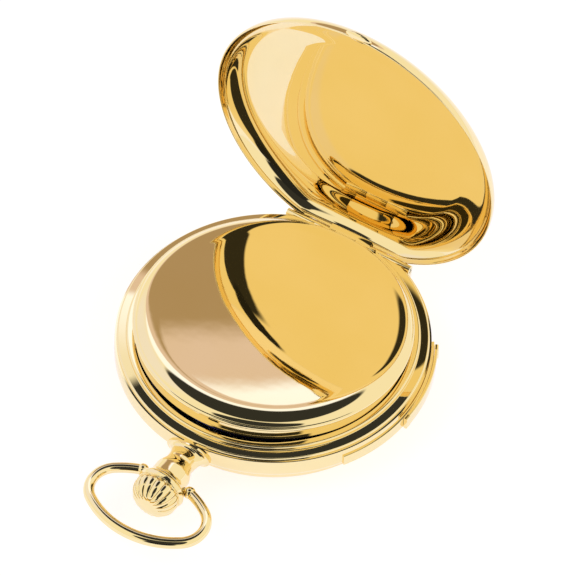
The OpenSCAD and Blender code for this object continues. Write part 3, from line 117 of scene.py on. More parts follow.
def dish(
    radius: float, depth: float, shoulder: float, crown: float, ease: float = 2.0
) -> list[Point]:
    """Gives the outline of a dished cover from its axis to its rim.

    Args:
        radius: Radius of the rim.
        depth: Height of the middle over the rim.
        shoulder: Width of the round shoulder.
        crown: Rise of the dome inside the shoulder's radius.
        ease: 2 for an elliptic shoulder, more for one that starts more gently.

    Returns:
        The points from the axis outwards.
    """
    big = (radius**2 + crown**2) / (2 * crown)
    flat = radius - shoulder
    drop = depth - big
    across = [flat * i / DISH_STEPS for i in range(DISH_STEPS + 1)]
    dome = [(x, drop + math.sqrt(big**2 - x**2)) for x in across]
    top = dome[-1][1]
    down = min(shoulder, top - RIM_LEFT)
    runs = [math.sin(math.radians(90 * i / DISH_STEPS)) for i in range(1, DISH_STEPS + 1)]
    return dome + [(flat + shoulder * t, top - down * (1 - math.sqrt(1 - t**ease))) for t in runs]


def filleted(corners: Sequence[Corner], steps: int = 8) -> list[Point]:
    """Rounds the corners of a closed outline.

    Args:
        corners: Radius, height and fillet of each corner, in order round the outline.
        steps: Steps of each fillet.

    Returns:
        The points of the rounded outline.
    """
    points: list[Point] = []
    for i, (x, y, fillet) in enumerate(corners):
        here = Vector((x, y))
        back = Vector(corners[i - 1][:2]) - here
        ahead = Vector(corners[(i + 1) % len(corners)][:2]) - here
        if fillet <= 0:
            points.append((x, y))
            continue
        half = back.angle(ahead) / 2
        most = FILLET_SHARE * back.length, FILLET_SHARE * ahead.length
        reach = min(fillet / math.tan(half), *most)
        a, b = here + back.normalized() * reach, here + ahead.normalized() * reach
        for k in range(steps + 1):
            t = k / steps
            mid = a * (1 - t) ** 2 + here * 2 * t * (1 - t) + b * t**2
            points.append((mid.x, mid.y))
    return points


# Shapes


def turned(outline: Sequence[Point], steps: int = 288, closed: bool = False) -> Shape:
    """Turns a half section about the Z axis.

    Args:
        outline: Radius and height of each point.
        steps: Steps of the full turn.
        closed: Whether the last point joins the first.

    Returns:
        The turned shape.
    """
    bm = bmesh.new()
    verts = [bm.verts.new((r, 0, z)) for r, z in outline]
    pairs = list(zip(verts, verts[1:])) + ([(verts[-1], verts[0])] if closed else [])
    edges = [bm.edges.new(pair) for pair in pairs]
    bmesh.ops.spin(
        bm, geom=verts + edges, cent=(0, 0, 0), axis=(0, 0, 1), angle=math.tau, steps=steps,
        use_merge=True,
    )
    bmesh.ops.remove_doubles(bm, verts=bm.verts, dist=1e-4)
    bmesh.ops.recalc_face_normals(bm, faces=bm.faces)
    return bm


def sector(outline: Sequence[Point], start: float, end: float) -> Shape:
    """Turns a closed half section through part of a turn and closes its two ends.

    Args:
        outline: Radius and height of each point.
        start: First angle in degrees from +X.
        end: Last angle in degrees.

    Returns:
        The closed shape.
    """
    bm = bmesh.new()
    face = bm.faces.new([bm.verts.new((r, 0, z)) for r, z in outline])
    turn = Matrix.Rotation(math.radians(start), 4, "Z")
    bmesh.ops.transform(bm, matrix=turn, verts=bm.verts)
    steps = max(2, round((end - start) / 1.25))
    bmesh.ops.spin(
        bm, geom=[face], cent=(0, 0, 0), axis=(0, 0, 1), angle=math.radians(end - start),
        steps=steps, use_merge=False,
    )
    bmesh.ops.remove_doubles(bm, verts=bm.verts, dist=1e-4)
    bmesh.ops.recalc_face_normals(bm, faces=bm.faces)
    return bm


def rod(radius: float, start: Vector, end: Vector, edge: float = 0.05) -> Shape:
    """Makes a round rod with softened ends.

    Args:
        radius: Radius of the rod.
        start: Middle of one end.
        end: Middle of the other end.
        edge: Width of the bevel round each end.

    Returns:
        The rod.
    """
    span = end - start
    bm = bmesh.new()
    bmesh.ops.create_cone(
        bm, cap_ends=True, segments=64, radius1=radius, radius2=radius, depth=span.length
    )
    rims = [e for e in bm.edges if any(len(f.verts) > 4 for f in e.link_faces)]
    bmesh.ops.bevel(
        bm, geom=rims, offset=edge, segments=3, profile=0.5, affect="EDGES", material=-1
    )
    turn = span.to_track_quat("Z", "Y").to_matrix().to_4x4()
    bmesh.ops.transform(bm, matrix=Matrix.Translation((start + end) / 2) @ turn, verts=bm.verts)
    return bm


def knuckle(radius: float, y: float, z: float, a: float, b: float, edge: float = 0.05) -> Shape:
    """Makes a hinge knuckle, a rod along X from a to b at the hinge's Y and height."""
    return rod(radius, Vector((a, y, z)), Vector((b, y, z)), edge)


def bar(low: Sequence[float], high: Sequence[float], edge: float = 0.06) -> Shape:
    """Makes a block between two corners with softened edges.

    Args:
        low: Lowest corner.
        high: Highest corner.
        edge: Width of the bevel.

    Returns:
        The block.
    """
    lo, hi = Vector(low), Vector(high)
    bm = bmesh.new()
    bmesh.ops.create_cube(bm, size=1)
    bmesh.ops.scale(bm, vec=hi - lo, verts=bm.verts)
    bmesh.ops.translate(bm, vec=(lo + hi) / 2, verts=bm.verts)
    bmesh.ops.bevel(
        bm, geom=list(bm.edges), offset=edge, segments=2, profile=0.5, affect="EDGES", material=-1
    )
    return bm


def cut(bm: Shape, at: Sequence[float], away: Sequence[float]) -> Shape:
    """Cuts a closed shape with a plane, drops the far side and closes the cut.

    Args:
        bm: The shape.
        at: A point of the plane.
        away: Direction of the side that goes.

    Returns:
        The same shape.
    """
    found = bmesh.ops.bisect_plane(
        bm, geom=list(bm.verts) + list(bm.edges) + list(bm.faces), dist=1e-5,
        plane_co=Vector(at), plane_no=Vector(away), clear_outer=True,
    )
    edges = [g for g in found["geom_cut"] if isinstance(g, bmesh.types.BMEdge)]
    bmesh.ops.triangle_fill(bm, use_beauty=True, edges=edges, normal=Vector(away))
    bmesh.ops.recalc_face_normals(bm, faces=bm.faces)
    return bm


def smooth(t: float) -> float:
    """Gives a share from 0 to 1 that starts and ends gently, for any t."""
    t = min(1.0, max(0.0, t))
    return t * t * (3 - 2 * t)


def toward(azimuth: float, elevation: float) -> Vector:
    """Gives a direction from its bearing, 0 over -Y and growing towards +X, and its height."""
    out = math.cos(elevation)
    return Vector((math.sin(azimuth) * out, -math.cos(azimuth) * out, math.sin(elevation)))


def placed(name: str, data: bpy.types.ID) -> Object:
    """Makes an object and puts it in the scene.

    Args:
        name: Its name.
        data: Its mesh, lamp or camera.

    Returns:
        The object.
    """
    obj = bpy.data.objects.new(name, data)
    bpy.context.scene.collection.objects.link(obj)
    return obj


def about_stem(watch: "Watch") -> Matrix:
    """Gives the place of a shape whose own axis becomes the stem's axis."""
    return Matrix.Translation((0, 0, watch.stem)) @ Matrix.Rotation(math.radians(90), 4, "X")


def about_x(y: float, z: float, degrees: float) -> Matrix:
    """Gives the turn by some degrees about an axis along X at a Y and a height."""
    axis = Matrix.Translation((0, y, z))
    return axis @ Matrix.Rotation(math.radians(degrees), 4, "X") @ axis.inverted()


class Piece:
    """Gathers shapes in millimetres and finishes them as one object in metres."""

    def __init__(self, name: str, body: Body, node: str, slot: Slot = Slot.GOLD) -> None:
        """Starts an empty piece.

        Args:
            name: Name of the object.
            body: Body that it rides on.
            node: Solid that it stands for.
            slot: Material slot; it is kept but not used.
        """
        self.name = name
        self.body = body
        self.node = node
        self.slot = slot
        self.shapes = bmesh.new()

    def add(self, bm: Shape, place: Matrix | None = None) -> "Piece":
        """Takes a shape into the piece.

        Args:
            bm: The shape, which is freed.
            place: Where it goes.

        Returns:
            The piece.
        """
        if place is not None:
            bmesh.ops.transform(bm, matrix=place, verts=bm.verts)
        mesh = bpy.data.meshes.new(self.name)
        bm.to_mesh(mesh)
        bm.free()
        self.shapes.from_mesh(mesh)
        bpy.data.meshes.remove(mesh)
        return self

    def finish(self, material: Material, crease: float = 32) -> Object:
        """Makes the object, gives it its finish and lets it ride on its body.

        Args:
            material: The finish.
            crease: Angle in degrees over which an edge stays sharp.

        Returns:
            The object.
        """
        bmesh.ops.scale(self.shapes, vec=(MM, MM, MM), verts=self.shapes.verts)
        mesh = bpy.data.meshes.new(self.name)
        self.shapes.to_mesh(mesh)
        self.shapes.free()
        mesh.shade_smooth()
        mesh.set_sharp_from_angle(angle=math.radians(crease))
        obj = placed(self.name, mesh)
        mesh.materials.append(material)
        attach(obj, self.body.value)
        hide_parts(self.node)
        log.info("%s: %d faces on %s", self.name, len(mesh.polygons), self.body.value)
        return obj


# Finishes


def fed(
    tree: Tree, kind: str, given: dict[str | int, object], **options: object
) -> bpy.types.Node:
    """Adds a node and fills its inputs.

    Args:
        tree: The tree that takes it.
        kind: Type of the node.
        given: What each input gets: a value, or the output that feeds it.
        options: Settings of the node, such as its operation.

    Returns:
        The node.
    """
    made = tree.nodes.new(kind)
    for option, value in options.items():
        setattr(made, option, value)
    for name, value in given.items():
        if isinstance(value, Socket):
            tree.links.new(value, made.inputs[name])
        else:
            made.inputs[name].default_value = value
    return made


def on_surface(tree: Tree) -> Socket:
    """Gives the place on the object that a pattern reads."""
    return fed(tree, "ShaderNodeTexCoord", {}).outputs["Object"]


def new_group(name: str, inputs: dict[str, float], outputs: dict[str, str]) -> Tree:
    """Starts a shader node group.

    Args:
        name: Name of the group.
        inputs: Name and default of each float input.
        outputs: Name and socket type of each output.

    Returns:
        The group, with its Group Input and Group Output nodes.
    """
    tree = bpy.data.node_groups.new(name, "ShaderNodeTree")
    for label, value in inputs.items():
        kind = "NodeSocketFloat"
        socket = tree.interface.new_socket(name=label, in_out="INPUT", socket_type=kind)
        socket.default_value = value
    for label, kind in outputs.items():
        tree.interface.new_socket(name=label, in_out="OUTPUT", socket_type=kind)
    tree.nodes.new("NodeGroupInput").name = "in"
    tree.nodes.new("NodeGroupOutput").name = "out"
    return tree


def handled_group() -> Tree:
    """Builds the group of faint rubbing marks: a roughness and a height that vary over a surface.

    Returns:
        The group.
    """
    tree = new_group(
        "handling_marks", {"Low": 0.03, "High": 0.07, "Scale": 240.0},
        {"Roughness": "NodeSocketFloat", "Height": "NodeSocketFloat"},
    )
    given, out, place = tree.nodes["in"].outputs, tree.nodes["out"], on_surface(tree)
    stretch = fed(tree, "ShaderNodeMapping", {
        "Vector": place, "Scale": (1.0, 9.0, 1.0), "Rotation": (0.3, 0.2, 0.6),
    })
    marks = fed(tree, "ShaderNodeTexNoise", {
        "Vector": stretch.outputs["Vector"], "Scale": given["Scale"], "Detail": 4.0,
    })
    broad = fed(tree, "ShaderNodeTexNoise", {"Vector": place, "Scale": 90.0})
    fac = marks.outputs["Fac"]
    mixed = fed(tree, "ShaderNodeMath", {0: fac, 1: broad.outputs["Fac"]}, operation="MULTIPLY")
    span = fed(tree, "ShaderNodeMapRange", {
        "Value": mixed.outputs["Value"], "From Min": 0.1, "From Max": 0.42,
        "To Min": given["Low"], "To Max": given["High"],
    })
    tree.links.new(span.outputs["Result"], out.inputs["Roughness"])
    tree.links.new(fac, out.inputs["Height"])
    return tree


def drift_group() -> Tree:
    """Builds the group of broad shade changes: a mask from 0 to 1 that drifts over a surface.

    Returns:
        The group.
    """
    tree = new_group("shade_drift", {"Scale": 60.0}, {"Mask": "NodeSocketFloat"})
    cloud = fed(tree, "ShaderNodeTexNoise", {
        "Vector": on_surface(tree), "Scale": tree.nodes["in"].outputs["Scale"], "Detail": 2.0,
    })
    span = fed(tree, "ShaderNodeMapRange", {
        "Value": cloud.outputs["Fac"], "From Min": 0.3, "From Max": 0.7,
    })
    tree.links.new(span.outputs["Result"], tree.nodes["out"].inputs["Mask"])
    return tree


def wave_group() -> Tree:
    """Builds the group of the soft unevenness that hand polishing leaves: a height.

    Returns:
        The group.
    """
    tree = new_group("polish_waves", {"Scale": 70.0, "Fine": 420.0}, {"Height": "NodeSocketFloat"})
    given, place = tree.nodes["in"].outputs, on_surface(tree)
    broad, fine = (
        fed(tree, "ShaderNodeTexNoise", {"Vector": place, "Scale": given[scale], "Detail": detail})
        for scale, detail in (("Scale", 0.0), ("Fine", 1.0))
    )
    both = fed(
        tree, "ShaderNodeMath", {0: fine.outputs["Fac"], 1: 0.05, 2: broad.outputs["Fac"]},
        operation="MULTIPLY_ADD",
    )
    tree.links.new(both.outputs["Value"], tree.nodes["out"].inputs["Height"])
    return tree


@dataclass(frozen=True)
class Finish:
    """What every finish has: a shade that drifts to a second one, and faint handling marks."""

    name: str
    shade: Shade
    second: Shade

    def drifting(
        self, groups: Groups, low: float, high: float
    ) -> tuple[Material, bpy.types.Node, bpy.types.Node]:
        """Starts the material with its colour and its roughness.

        Args:
            groups: The shared node groups by name.
            low: Roughness where the surface is polished best.
            high: Roughness where it is rubbed most.

        Returns:
            The material, its shader and its node of handling marks.
        """
        made = bpy.data.materials.new(self.name)
        made.use_nodes = True
        tree = made.node_tree
        shader = tree.nodes["Principled BSDF"]
        drift = fed(tree, "ShaderNodeGroup", {}, node_tree=groups["shade_drift"])
        span = {"Low": low, "High": high}
        marks = fed(tree, "ShaderNodeGroup", span, node_tree=groups["handling_marks"])
        colours = {"Factor": drift.outputs["Mask"], "A": (*self.shade, 1), "B": (*self.second, 1)}
        mix = fed(tree, "ShaderNodeMix", colours, data_type="RGBA")
        tree.links.new(mix.outputs["Result"], shader.inputs["Base Color"])
        tree.links.new(marks.outputs["Roughness"], shader.inputs["Roughness"])
        return made, shader, marks


@dataclass(frozen=True)
class Metal(Finish):
    """A metal finish, plain, softly waved by polishing, or banded."""

    low: float = 0.03
    high: float = 0.07
    relief: float = 0.0
    depth: float = 0.02
    bands: float = 0.0
    waves: float = 0.0

    def material(self, groups: Groups) -> Material:
        """Builds the material.

        Args:
            groups: The shared node groups by name.

        Returns:
            The material.
        """
        made, shader, marks = self.drifting(groups, self.low, self.high)
        tree = made.node_tree
        shader.inputs["Metallic"].default_value = 1.0
        height = marks.outputs["Height"]
        if self.bands:
            height = self.banded(tree)
        elif self.waves:
            group, scale = groups["polish_waves"], {"Scale": self.waves}
            height = fed(tree, "ShaderNodeGroup", scale, node_tree=group).outputs["Height"]
        if self.relief:
            bump = fed(tree, "ShaderNodeBump", {
                "Height": height, "Strength": self.relief, "Distance": self.depth * MM,
            })
            tree.links.new(bump.outputs["Normal"], shader.inputs["Normal"])
        return made

    def banded(self, tree: Tree) -> Socket:
        """Adds straight polished bands, as on finished movement plates.

        Args:
            tree: The material's nodes.

        Returns:
            The height of the bands.
        """
        wave = fed(tree, "ShaderNodeTexWave", {
            "Vector": on_surface(tree), "Scale": self.bands, "Distortion": 0.4,
        })
        return wave.outputs["Fac"]


@dataclass(frozen=True)
class Glassy(Finish):
    """A clear or glazed finish."""

    rough: float = 0.05
    clear: float = 0.0
    index: float = 1.5
    spread: float = 0.4

    def material(self, groups: Groups) -> Material:
        """Builds the material.

        Args:
            groups: The shared node groups by name.

        Returns:
            The material.
        """
        low, high = self.rough * (1 - self.spread), self.rough * (1 + self.spread)
        made, shader, _ = self.drifting(groups, low, high)
        shader.inputs["IOR"].default_value = self.index
        shader.inputs["Transmission Weight"].default_value = self.clear
        return made


FINISHES: dict[Slot, Metal | Glassy] = {
    Slot.GOLD: Metal(
        "mirror_gold", (0.945, 0.76, 0.39), (0.93, 0.74, 0.35), 0.01, 0.04,
        relief=1.0, depth=0.045, waves=60.0,
    ),
    Slot.MOVEMENT_STEEL: Metal("polished_steel", (0.62, 0.63, 0.65), (0.56, 0.57, 0.6), 0.08, 0.2),
    Slot.NICKEL: Metal(
        "banded_nickel", (0.66, 0.63, 0.58), (0.6, 0.57, 0.53), 0.16, 0.28, relief=0.3, bands=260.0
    ),
    Slot.BLUED_STEEL: Metal("blued_steel", (0.05, 0.09, 0.3), (0.08, 0.06, 0.26), 0.1, 0.2),
    Slot.GILT_BRASS: Metal("gilt_brass", (0.74, 0.52, 0.22), (0.68, 0.46, 0.18), 0.18, 0.32),
    Slot.ENAMEL: Glassy("white_enamel", (0.86, 0.85, 0.81), (0.83, 0.82, 0.78), 0.08),
    Slot.CRYSTAL: Glassy("clear_crystal", (0.98, 0.99, 1.0), (0.96, 0.98, 0.99), 0.01, 1.0, 1.52),
    Slot.RUBY: Glassy("ruby_jewel", (0.55, 0.02, 0.07), (0.45, 0.01, 0.05), 0.04, 0.6, 1.76),
    Slot.BLACK_STEEL: Metal("black_steel", (0.03, 0.03, 0.035), (0.05, 0.05, 0.055), 0.1, 0.2),
}


@dataclass
class Wardrobe:
    """Holds one material for each slot and dresses the solids that stay."""

    made: dict[Slot, Material]

    @classmethod
    def filled(cls) -> "Wardrobe":
        """Builds the shared groups and every finish.

        Returns:
            The wardrobe.
        """
        groups = {
            "handling_marks": handled_group(), "shade_drift": drift_group(),
            "polish_waves": wave_group(),
        }
        return cls({slot: finish.material(groups) for slot, finish in FINISHES.items()})

    def dress(self) -> None:
        """Gives every solid of the frame the finish of its slot."""
        slots = {s["node"]: s["material_slot"] for s in frame["record"]["subparts"]}
        for name, obj in frame["nodes"].items():
            material = self.made[Slot(slots[name])]
            for i in range(len(obj.material_slots)):
                obj.material_slots[i].material = material


# Case


@dataclass
class Watch:
    """Sizes that several pieces of the case share."""

    band_low: float = 4.3
    shoulder: float = 9.3
    collar_top: float = 10.95
    stem: float = 7.0
    cover_r: float = 27.3
    hinge_y: float = 25.3
    hinge_z: float = 9.05
    hinge_r: float = 0.75
    hinge_l: float = 24.9
    pin_y: float = 23.75
    pin_z: float = 11.35
    pin_r: float = 0.5
    pin_l: float = 12.0
    front_y: float = 25.0
    front_z: float = 4.55
    front_r: float = 0.6
    front_l: float = 14.4


@dataclass
class Part:
    """What every part of the case is given: the shared sizes and its finish."""

    watch: Watch
    gold: Material


@dataclass
class BackCover(Part):
    """The outer back cover, open at a right angle."""

    depth: float = 4.6
    wall: float = 0.45
    rim_wall: float = 0.32
    rim_z: float = 0.2
    shoulder: float = 5.4
    inner_shoulder: float = 7.4
    ease: float = 2.9
    crown: float = 0.85
    soft: float = 0.014
    press_power: int = 7
    lift: float = 0.5
    lift_full: float = 0.03
    lift_fade: float = 1.6
    foot: float = 0.1
    tongue: float = 1.0
    open_by: float = 90.0
    lip_w: float = 5.0
    lip_out: float = 0.98
    lip_h: float = 0.55

    def shell(self) -> Shape:
        """Turns the dished wall and presses it in along the hinge.

        Returns:
            The wall, closed.
        """
        w = self.watch
        outer = dish(w.cover_r, self.depth, self.shoulder, self.crown)
        inner_r, inner_top = w.cover_r - self.rim_wall, self.depth - self.wall
        inner = dish(inner_r, inner_top, self.inner_shoulder, self.crown, self.ease)
        rim = arc((w.cover_r - self.rim_wall / 2, self.rim_z), self.rim_wall / 2, 0, -180, 10)
        bm = turned(outer + rim + inner[::-1])
        for v in bm.verts:
            if v.co.y <= 0:
                continue
            r = math.hypot(v.co.x, v.co.y)
            q = w.hinge_y * r / (w.cover_r * v.co.y)
            press = 1 - (1 + q - math.sqrt((1 - q) ** 2 + self.soft**2)) / 2
            v.co.xy *= 1 - press * (r / w.cover_r) ** self.press_power
            rise = self.lift * smooth(press / self.lift_full)
            v.co.z += rise * max(0, 1 - v.co.z / self.lift_fade)
        return bm

    def lip(self) -> Shape:
        """Makes the rounded thumb lip opposite the hinge.

        Returns:
            The lip.
        """
        bm = bmesh.new()
        bmesh.ops.create_uvsphere(bm, u_segments=64, v_segments=32, radius=1)
        bmesh.ops.scale(bm, vec=(self.lip_w / 2, self.lip_out, self.lip_h), verts=bm.verts)
        bmesh.ops.translate(bm, vec=(0, -self.watch.cover_r, self.lip_h), verts=bm.verts)
        return bm

    def build(self) -> Object:
        """Builds the cover and opens it.

        Returns:
            The cover.
        """
        w = self.watch
        place = about_x(w.hinge_y, w.hinge_z, -self.open_by)
        seat = place @ Matrix.Translation((0, 0, w.shoulder + self.foot))
        piece = Piece("back_cover_shell", Body.BACK_COVER, "back_cover")
        piece.add(self.shell(), seat)
        piece.add(self.lip(), seat)
        half = w.hinge_l / 6 - PLAY
        piece.add(knuckle(w.hinge_r, w.hinge_y, w.hinge_z, -half, half), place)
        top = (half, w.hinge_y, w.shoulder + self.foot + self.tongue)
        piece.add(bar((-half, w.hinge_y - w.hinge_r, w.hinge_z), top), place)
        return piece.finish(self.gold)


@dataclass
class InnerCover(Part):
    """The polished inner cover, unsnapped and a little ajar."""

    bead_r: float = 24.2
    bead_h: float = 0.9
    bead_round: float = 0.42
    bead_from: float = 78.0
    dome_in: float = 0.25
    dome_sunk: float = 0.02
    skirt_r: float = 23.8
    skirt_edge: float = 0.1
    rise: float = 1.4
    wall: float = 0.45
    shoulder: float = 4.0
    ease: float = 2.6
    crown: float = 0.55
    skirt: float = 2.2
    ajar: float = 3.5
    foot: float = 0.03
    tongue: tuple[float, float, float] = (0.6, 0.1, 0.9)
    hinge_edge: float = 0.03

    def dome(self) -> Shape:
        """Turns the dome with its bead and skirt, cut straight along the hinge.

        Returns:
            The dome.
        """
        w = self.watch
        low = w.collar_top + self.foot
        r = self.bead_r - self.dome_in
        top = self.rise + self.bead_h
        rises = [
            dish(r - off, top - off, self.shoulder - off / 2, self.crown, self.ease)
            for off in (0, self.wall)
        ]
        outer, inner = [[(x, low + z) for x, z in points] for points in rises]
        neck = low + self.bead_h - self.dome_sunk
        outer = [p for p in outer if p[1] > neck]
        middle = (self.bead_r - self.bead_round, low + self.bead_h / 2)
        bead = arc(middle, self.bead_round, self.bead_from, -90, 20)
        foot, inside, edge = low - self.skirt, self.skirt_r - self.wall, self.skirt_edge
        skirt = [
            (self.skirt_r, low), (self.skirt_r, foot + 1.5 * edge), (self.skirt_r - edge, foot),
            (inside + edge, foot), (inside, foot + edge),
        ]
        bm = turned(outer + bead + skirt + [p for p in inner if p[1] > low][::-1])
        return cut(bm, (0, w.pin_y, 0), (0, 1, 0))

    def build(self) -> Object:
        """Builds the cover in its ajar place.

        Returns:
            The cover.
        """
        w = self.watch
        place = about_x(w.pin_y, w.pin_z, -self.ajar)
        piece = Piece("inner_cover_dome", Body.INNER_COVER, "inner_cover")
        piece.add(self.dome(), place)
        half = w.pin_l / 6 - PLAY
        piece.add(knuckle(w.pin_r, w.pin_y, w.pin_z, -half, half, self.hinge_edge), place)
        deep, low, high = self.tongue
        corners = (-half, w.pin_y - deep, w.collar_top + low), (half, w.pin_y, w.collar_top + high)
        piece.add(bar(*corners, self.hinge_edge), place)
        return piece.finish(self.gold)


@dataclass
class Band(Part):
    """The case band: body, shoulders, flange, collar, hinge bars and lugs."""

    bore_r: float = 22.9
    seat_r: float = 23.95
    collar_r: float = 25.2
    flange_r: float = 26.85
    case_r: float = 27.2
    wide_r: float = 27.45
    foot_r: float = 25.4
    ledge: float = 8.65
    flange_top: float = 10.0
    flange_cove: float = 0.16
    collar_lean: float = 0.05
    wide_z: float = 6.858
    turn_r: float = 1.6
    dip: float = 48.0
    front_r: float = 24.95
    bezel_r: float = 24.03
    lip_h: float = 0.7
    sill: float = 0.5
    seam_drop: float = 0.15
    behind: float = 0.2
    foot_top: float = 4.7
    foot_far: float = 24.2
    bar_near: float = 0.2
    bar_deep: float = 1.6
    bar_in: float = 1.4
    bar_back: float = 0.25
    bar_edge: float = 0.12
    knuckle_gap: float = 0.05
    knuckle_edge: float = 0.07
    lug_in: float = 0.4
    lug_far: float = 24.3
    lug_edge: float = 0.04

    def outline(self) -> list[Point]:
        """Gives the half section of the band with its beads rounded.

        Returns:
            The closed outline.
        """
        w = self.watch
        top = filleted([
            (self.seat_r, self.ledge, 0), (self.seat_r, w.collar_top, 0.12),
            (self.collar_r, w.collar_top, 0.42),
            (self.collar_r + self.collar_lean, self.flange_top + self.flange_cove, 0.12),
            (self.flange_r, self.flange_top, 0.34),
            (self.flange_r + 0.01, w.shoulder + 0.03, 0.04),
            (self.case_r, w.shoulder, 0),
        ])
        bulge = self.wide_r - self.case_r
        rise = w.shoulder - self.wide_z
        big = (rise**2 + bulge**2) / (2 * bulge)
        lean = math.degrees(math.asin(rise / big))
        face = arc((self.wide_r - big, self.wide_z), big, lean, 0, 16)[1:]
        face += arc((self.wide_r - self.turn_r, self.wide_z), self.turn_r, 0, -self.dip, 16)[1:]
        lip, sill = w.band_low - self.lip_h, w.band_low + self.sill
        foot = filleted([
            (self.foot_r, w.band_low, 0.1), (self.front_r + 0.01, w.band_low - 0.02, 0),
            (self.front_r, lip, 0.15), (self.bezel_r, lip, 0), (self.bezel_r, sill, 0),
            (self.bore_r, sill, 0), (self.bore_r, self.ledge, 0),
        ])
        return top + face + foot

    def ring(self, low: float = -math.inf, high: float = math.inf, far: float = math.inf) -> Shape:
        """Turns one storey of the band.

        Args:
            low: Its lowest height.
            high: Its highest height.
            far: Y past which it is cut straight.

        Returns:
            The storey, closed.
        """
        bm = turned(self.outline(), 320, closed=True)
        if far < self.wide_r:
            cut(bm, (0, far, 0), (0, 1, 0))
        if high < self.watch.collar_top:
            cut(bm, (0, 0, high), (0, 0, 1))
        if low > self.watch.band_low:
            cut(bm, (0, 0, low), (0, 0, -1))
        return bm

    def hinge(self, piece: Piece, y: float, z: float, r: float, length: float, side: int) -> None:
        """Adds the bar under an outer hinge and the band's two knuckles.

        Args:
            piece: The piece that takes them.
            y: Y of the hinge.
            z: Height of the hinge.
            r: Radius of its knuckles.
            length: Length of the hinge.
            side: 1 for the back, -1 for the front.
        """
        ends = sorted((z - side * self.bar_near, z - side * (r + self.bar_deep)))
        low = (-length / 2, y - r - self.bar_in, ends[0])
        piece.add(bar(low, (length / 2, y + r - self.bar_back, ends[1]), self.bar_edge))
        for s in (-1, 1):
            start = s * (length / 6 + self.knuckle_gap)
            piece.add(knuckle(r, y, z, start, s * length / 2, self.knuckle_edge))

    def build(self) -> Object:
        """Builds the band.

        Returns:
            The band.
        """
        w = self.watch
        piece = Piece("case_band_shell", Body.CASE, "case_band")
        seam = w.hinge_z - self.seam_drop
        piece.add(self.ring(low=seam, far=w.hinge_y - w.hinge_r - self.behind))
        piece.add(self.ring(low=self.foot_top, high=seam))
        piece.add(self.ring(high=self.foot_top, far=self.foot_far))
        self.hinge(piece, w.hinge_y, w.hinge_z, w.hinge_r, w.hinge_l, 1)
        self.hinge(piece, w.front_y, w.front_z, w.front_r, w.front_l, -1)
        for s in (-1, 1):
            a, b = sorted((s * (w.pin_l / 6 + 2 * PLAY), s * w.pin_l / 2))
            piece.add(knuckle(w.pin_r, w.pin_y, w.pin_z, a, b, self.lug_edge))
            low = (a, w.pin_y - self.lug_in, self.ledge)
            piece.add(bar(low, (b, self.lug_far, w.pin_z), self.lug_edge))
        return piece.finish(self.gold)


@dataclass
class FrontCover(Part):
    """The closed front cover under the band."""

    radius: float = 25.4
    flat: float = 19.0
    depth: float = 4.2
    wall: float = 0.45
    rim_wall: float = 0.32
    rim_drop: float = 0.2
    curve_h: float = 3.4
    infill: float = 0.55
    infill_drop: float = 0.1
    infill_in: float = 0.02
    tongue: float = 1.0

    def outline(self, inset: float, lift: float) -> list[Point]:
        """Gives the cover's outline from its axis to its rim.

        Args:
            inset: How far the rim lies inside.
            lift: Height of the flat.

        Returns:
            The points.
        """
        run = self.radius - inset - self.flat
        turns = [math.radians(90 * i / 32) for i in range(33)]
        curve = [
            (self.flat + run * math.sin(t), lift + self.curve_h * (1 - math.cos(t))) for t in turns
        ]
        return [(0, lift), (self.flat * 0.5, lift)] + curve

    def build(self) -> Object:
        """Builds the cover.

        Returns:
            The cover.
        """
        w = self.watch
        outer = self.outline(0, 0)
        half = self.rim_wall / 2
        rim = arc((self.radius - half, self.depth - self.rim_drop), half, 0, 180, 10)
        inner = self.outline(self.rim_wall, self.wall)
        shell = turned(outer + rim + inner[::-1])
        piece = Piece("front_cover_shell", Body.FRONT_COVER, "front_cover")
        piece.add(cut(shell, (0, w.front_y, 0), (0, 1, 0)))
        top, inset = self.depth - self.infill_drop, self.infill_in
        filled = self.outline(inset, inset) + [(self.radius - inset, top), (0, top)]
        solid = cut(turned(filled), (0, w.front_y - inset / 2, 0), (0, 1, 0))
        piece.add(cut(solid, (0, w.front_y - self.infill, 0), (0, -1, 0)))
        half = w.front_l / 6 - PLAY
        piece.add(knuckle(w.front_r, w.front_y, w.front_z, -half, half))
        low = (-half, w.front_y - w.front_r, self.depth - self.tongue)
        piece.add(bar(low, (half, w.front_y, w.front_z)))
        return piece.finish(self.gold)


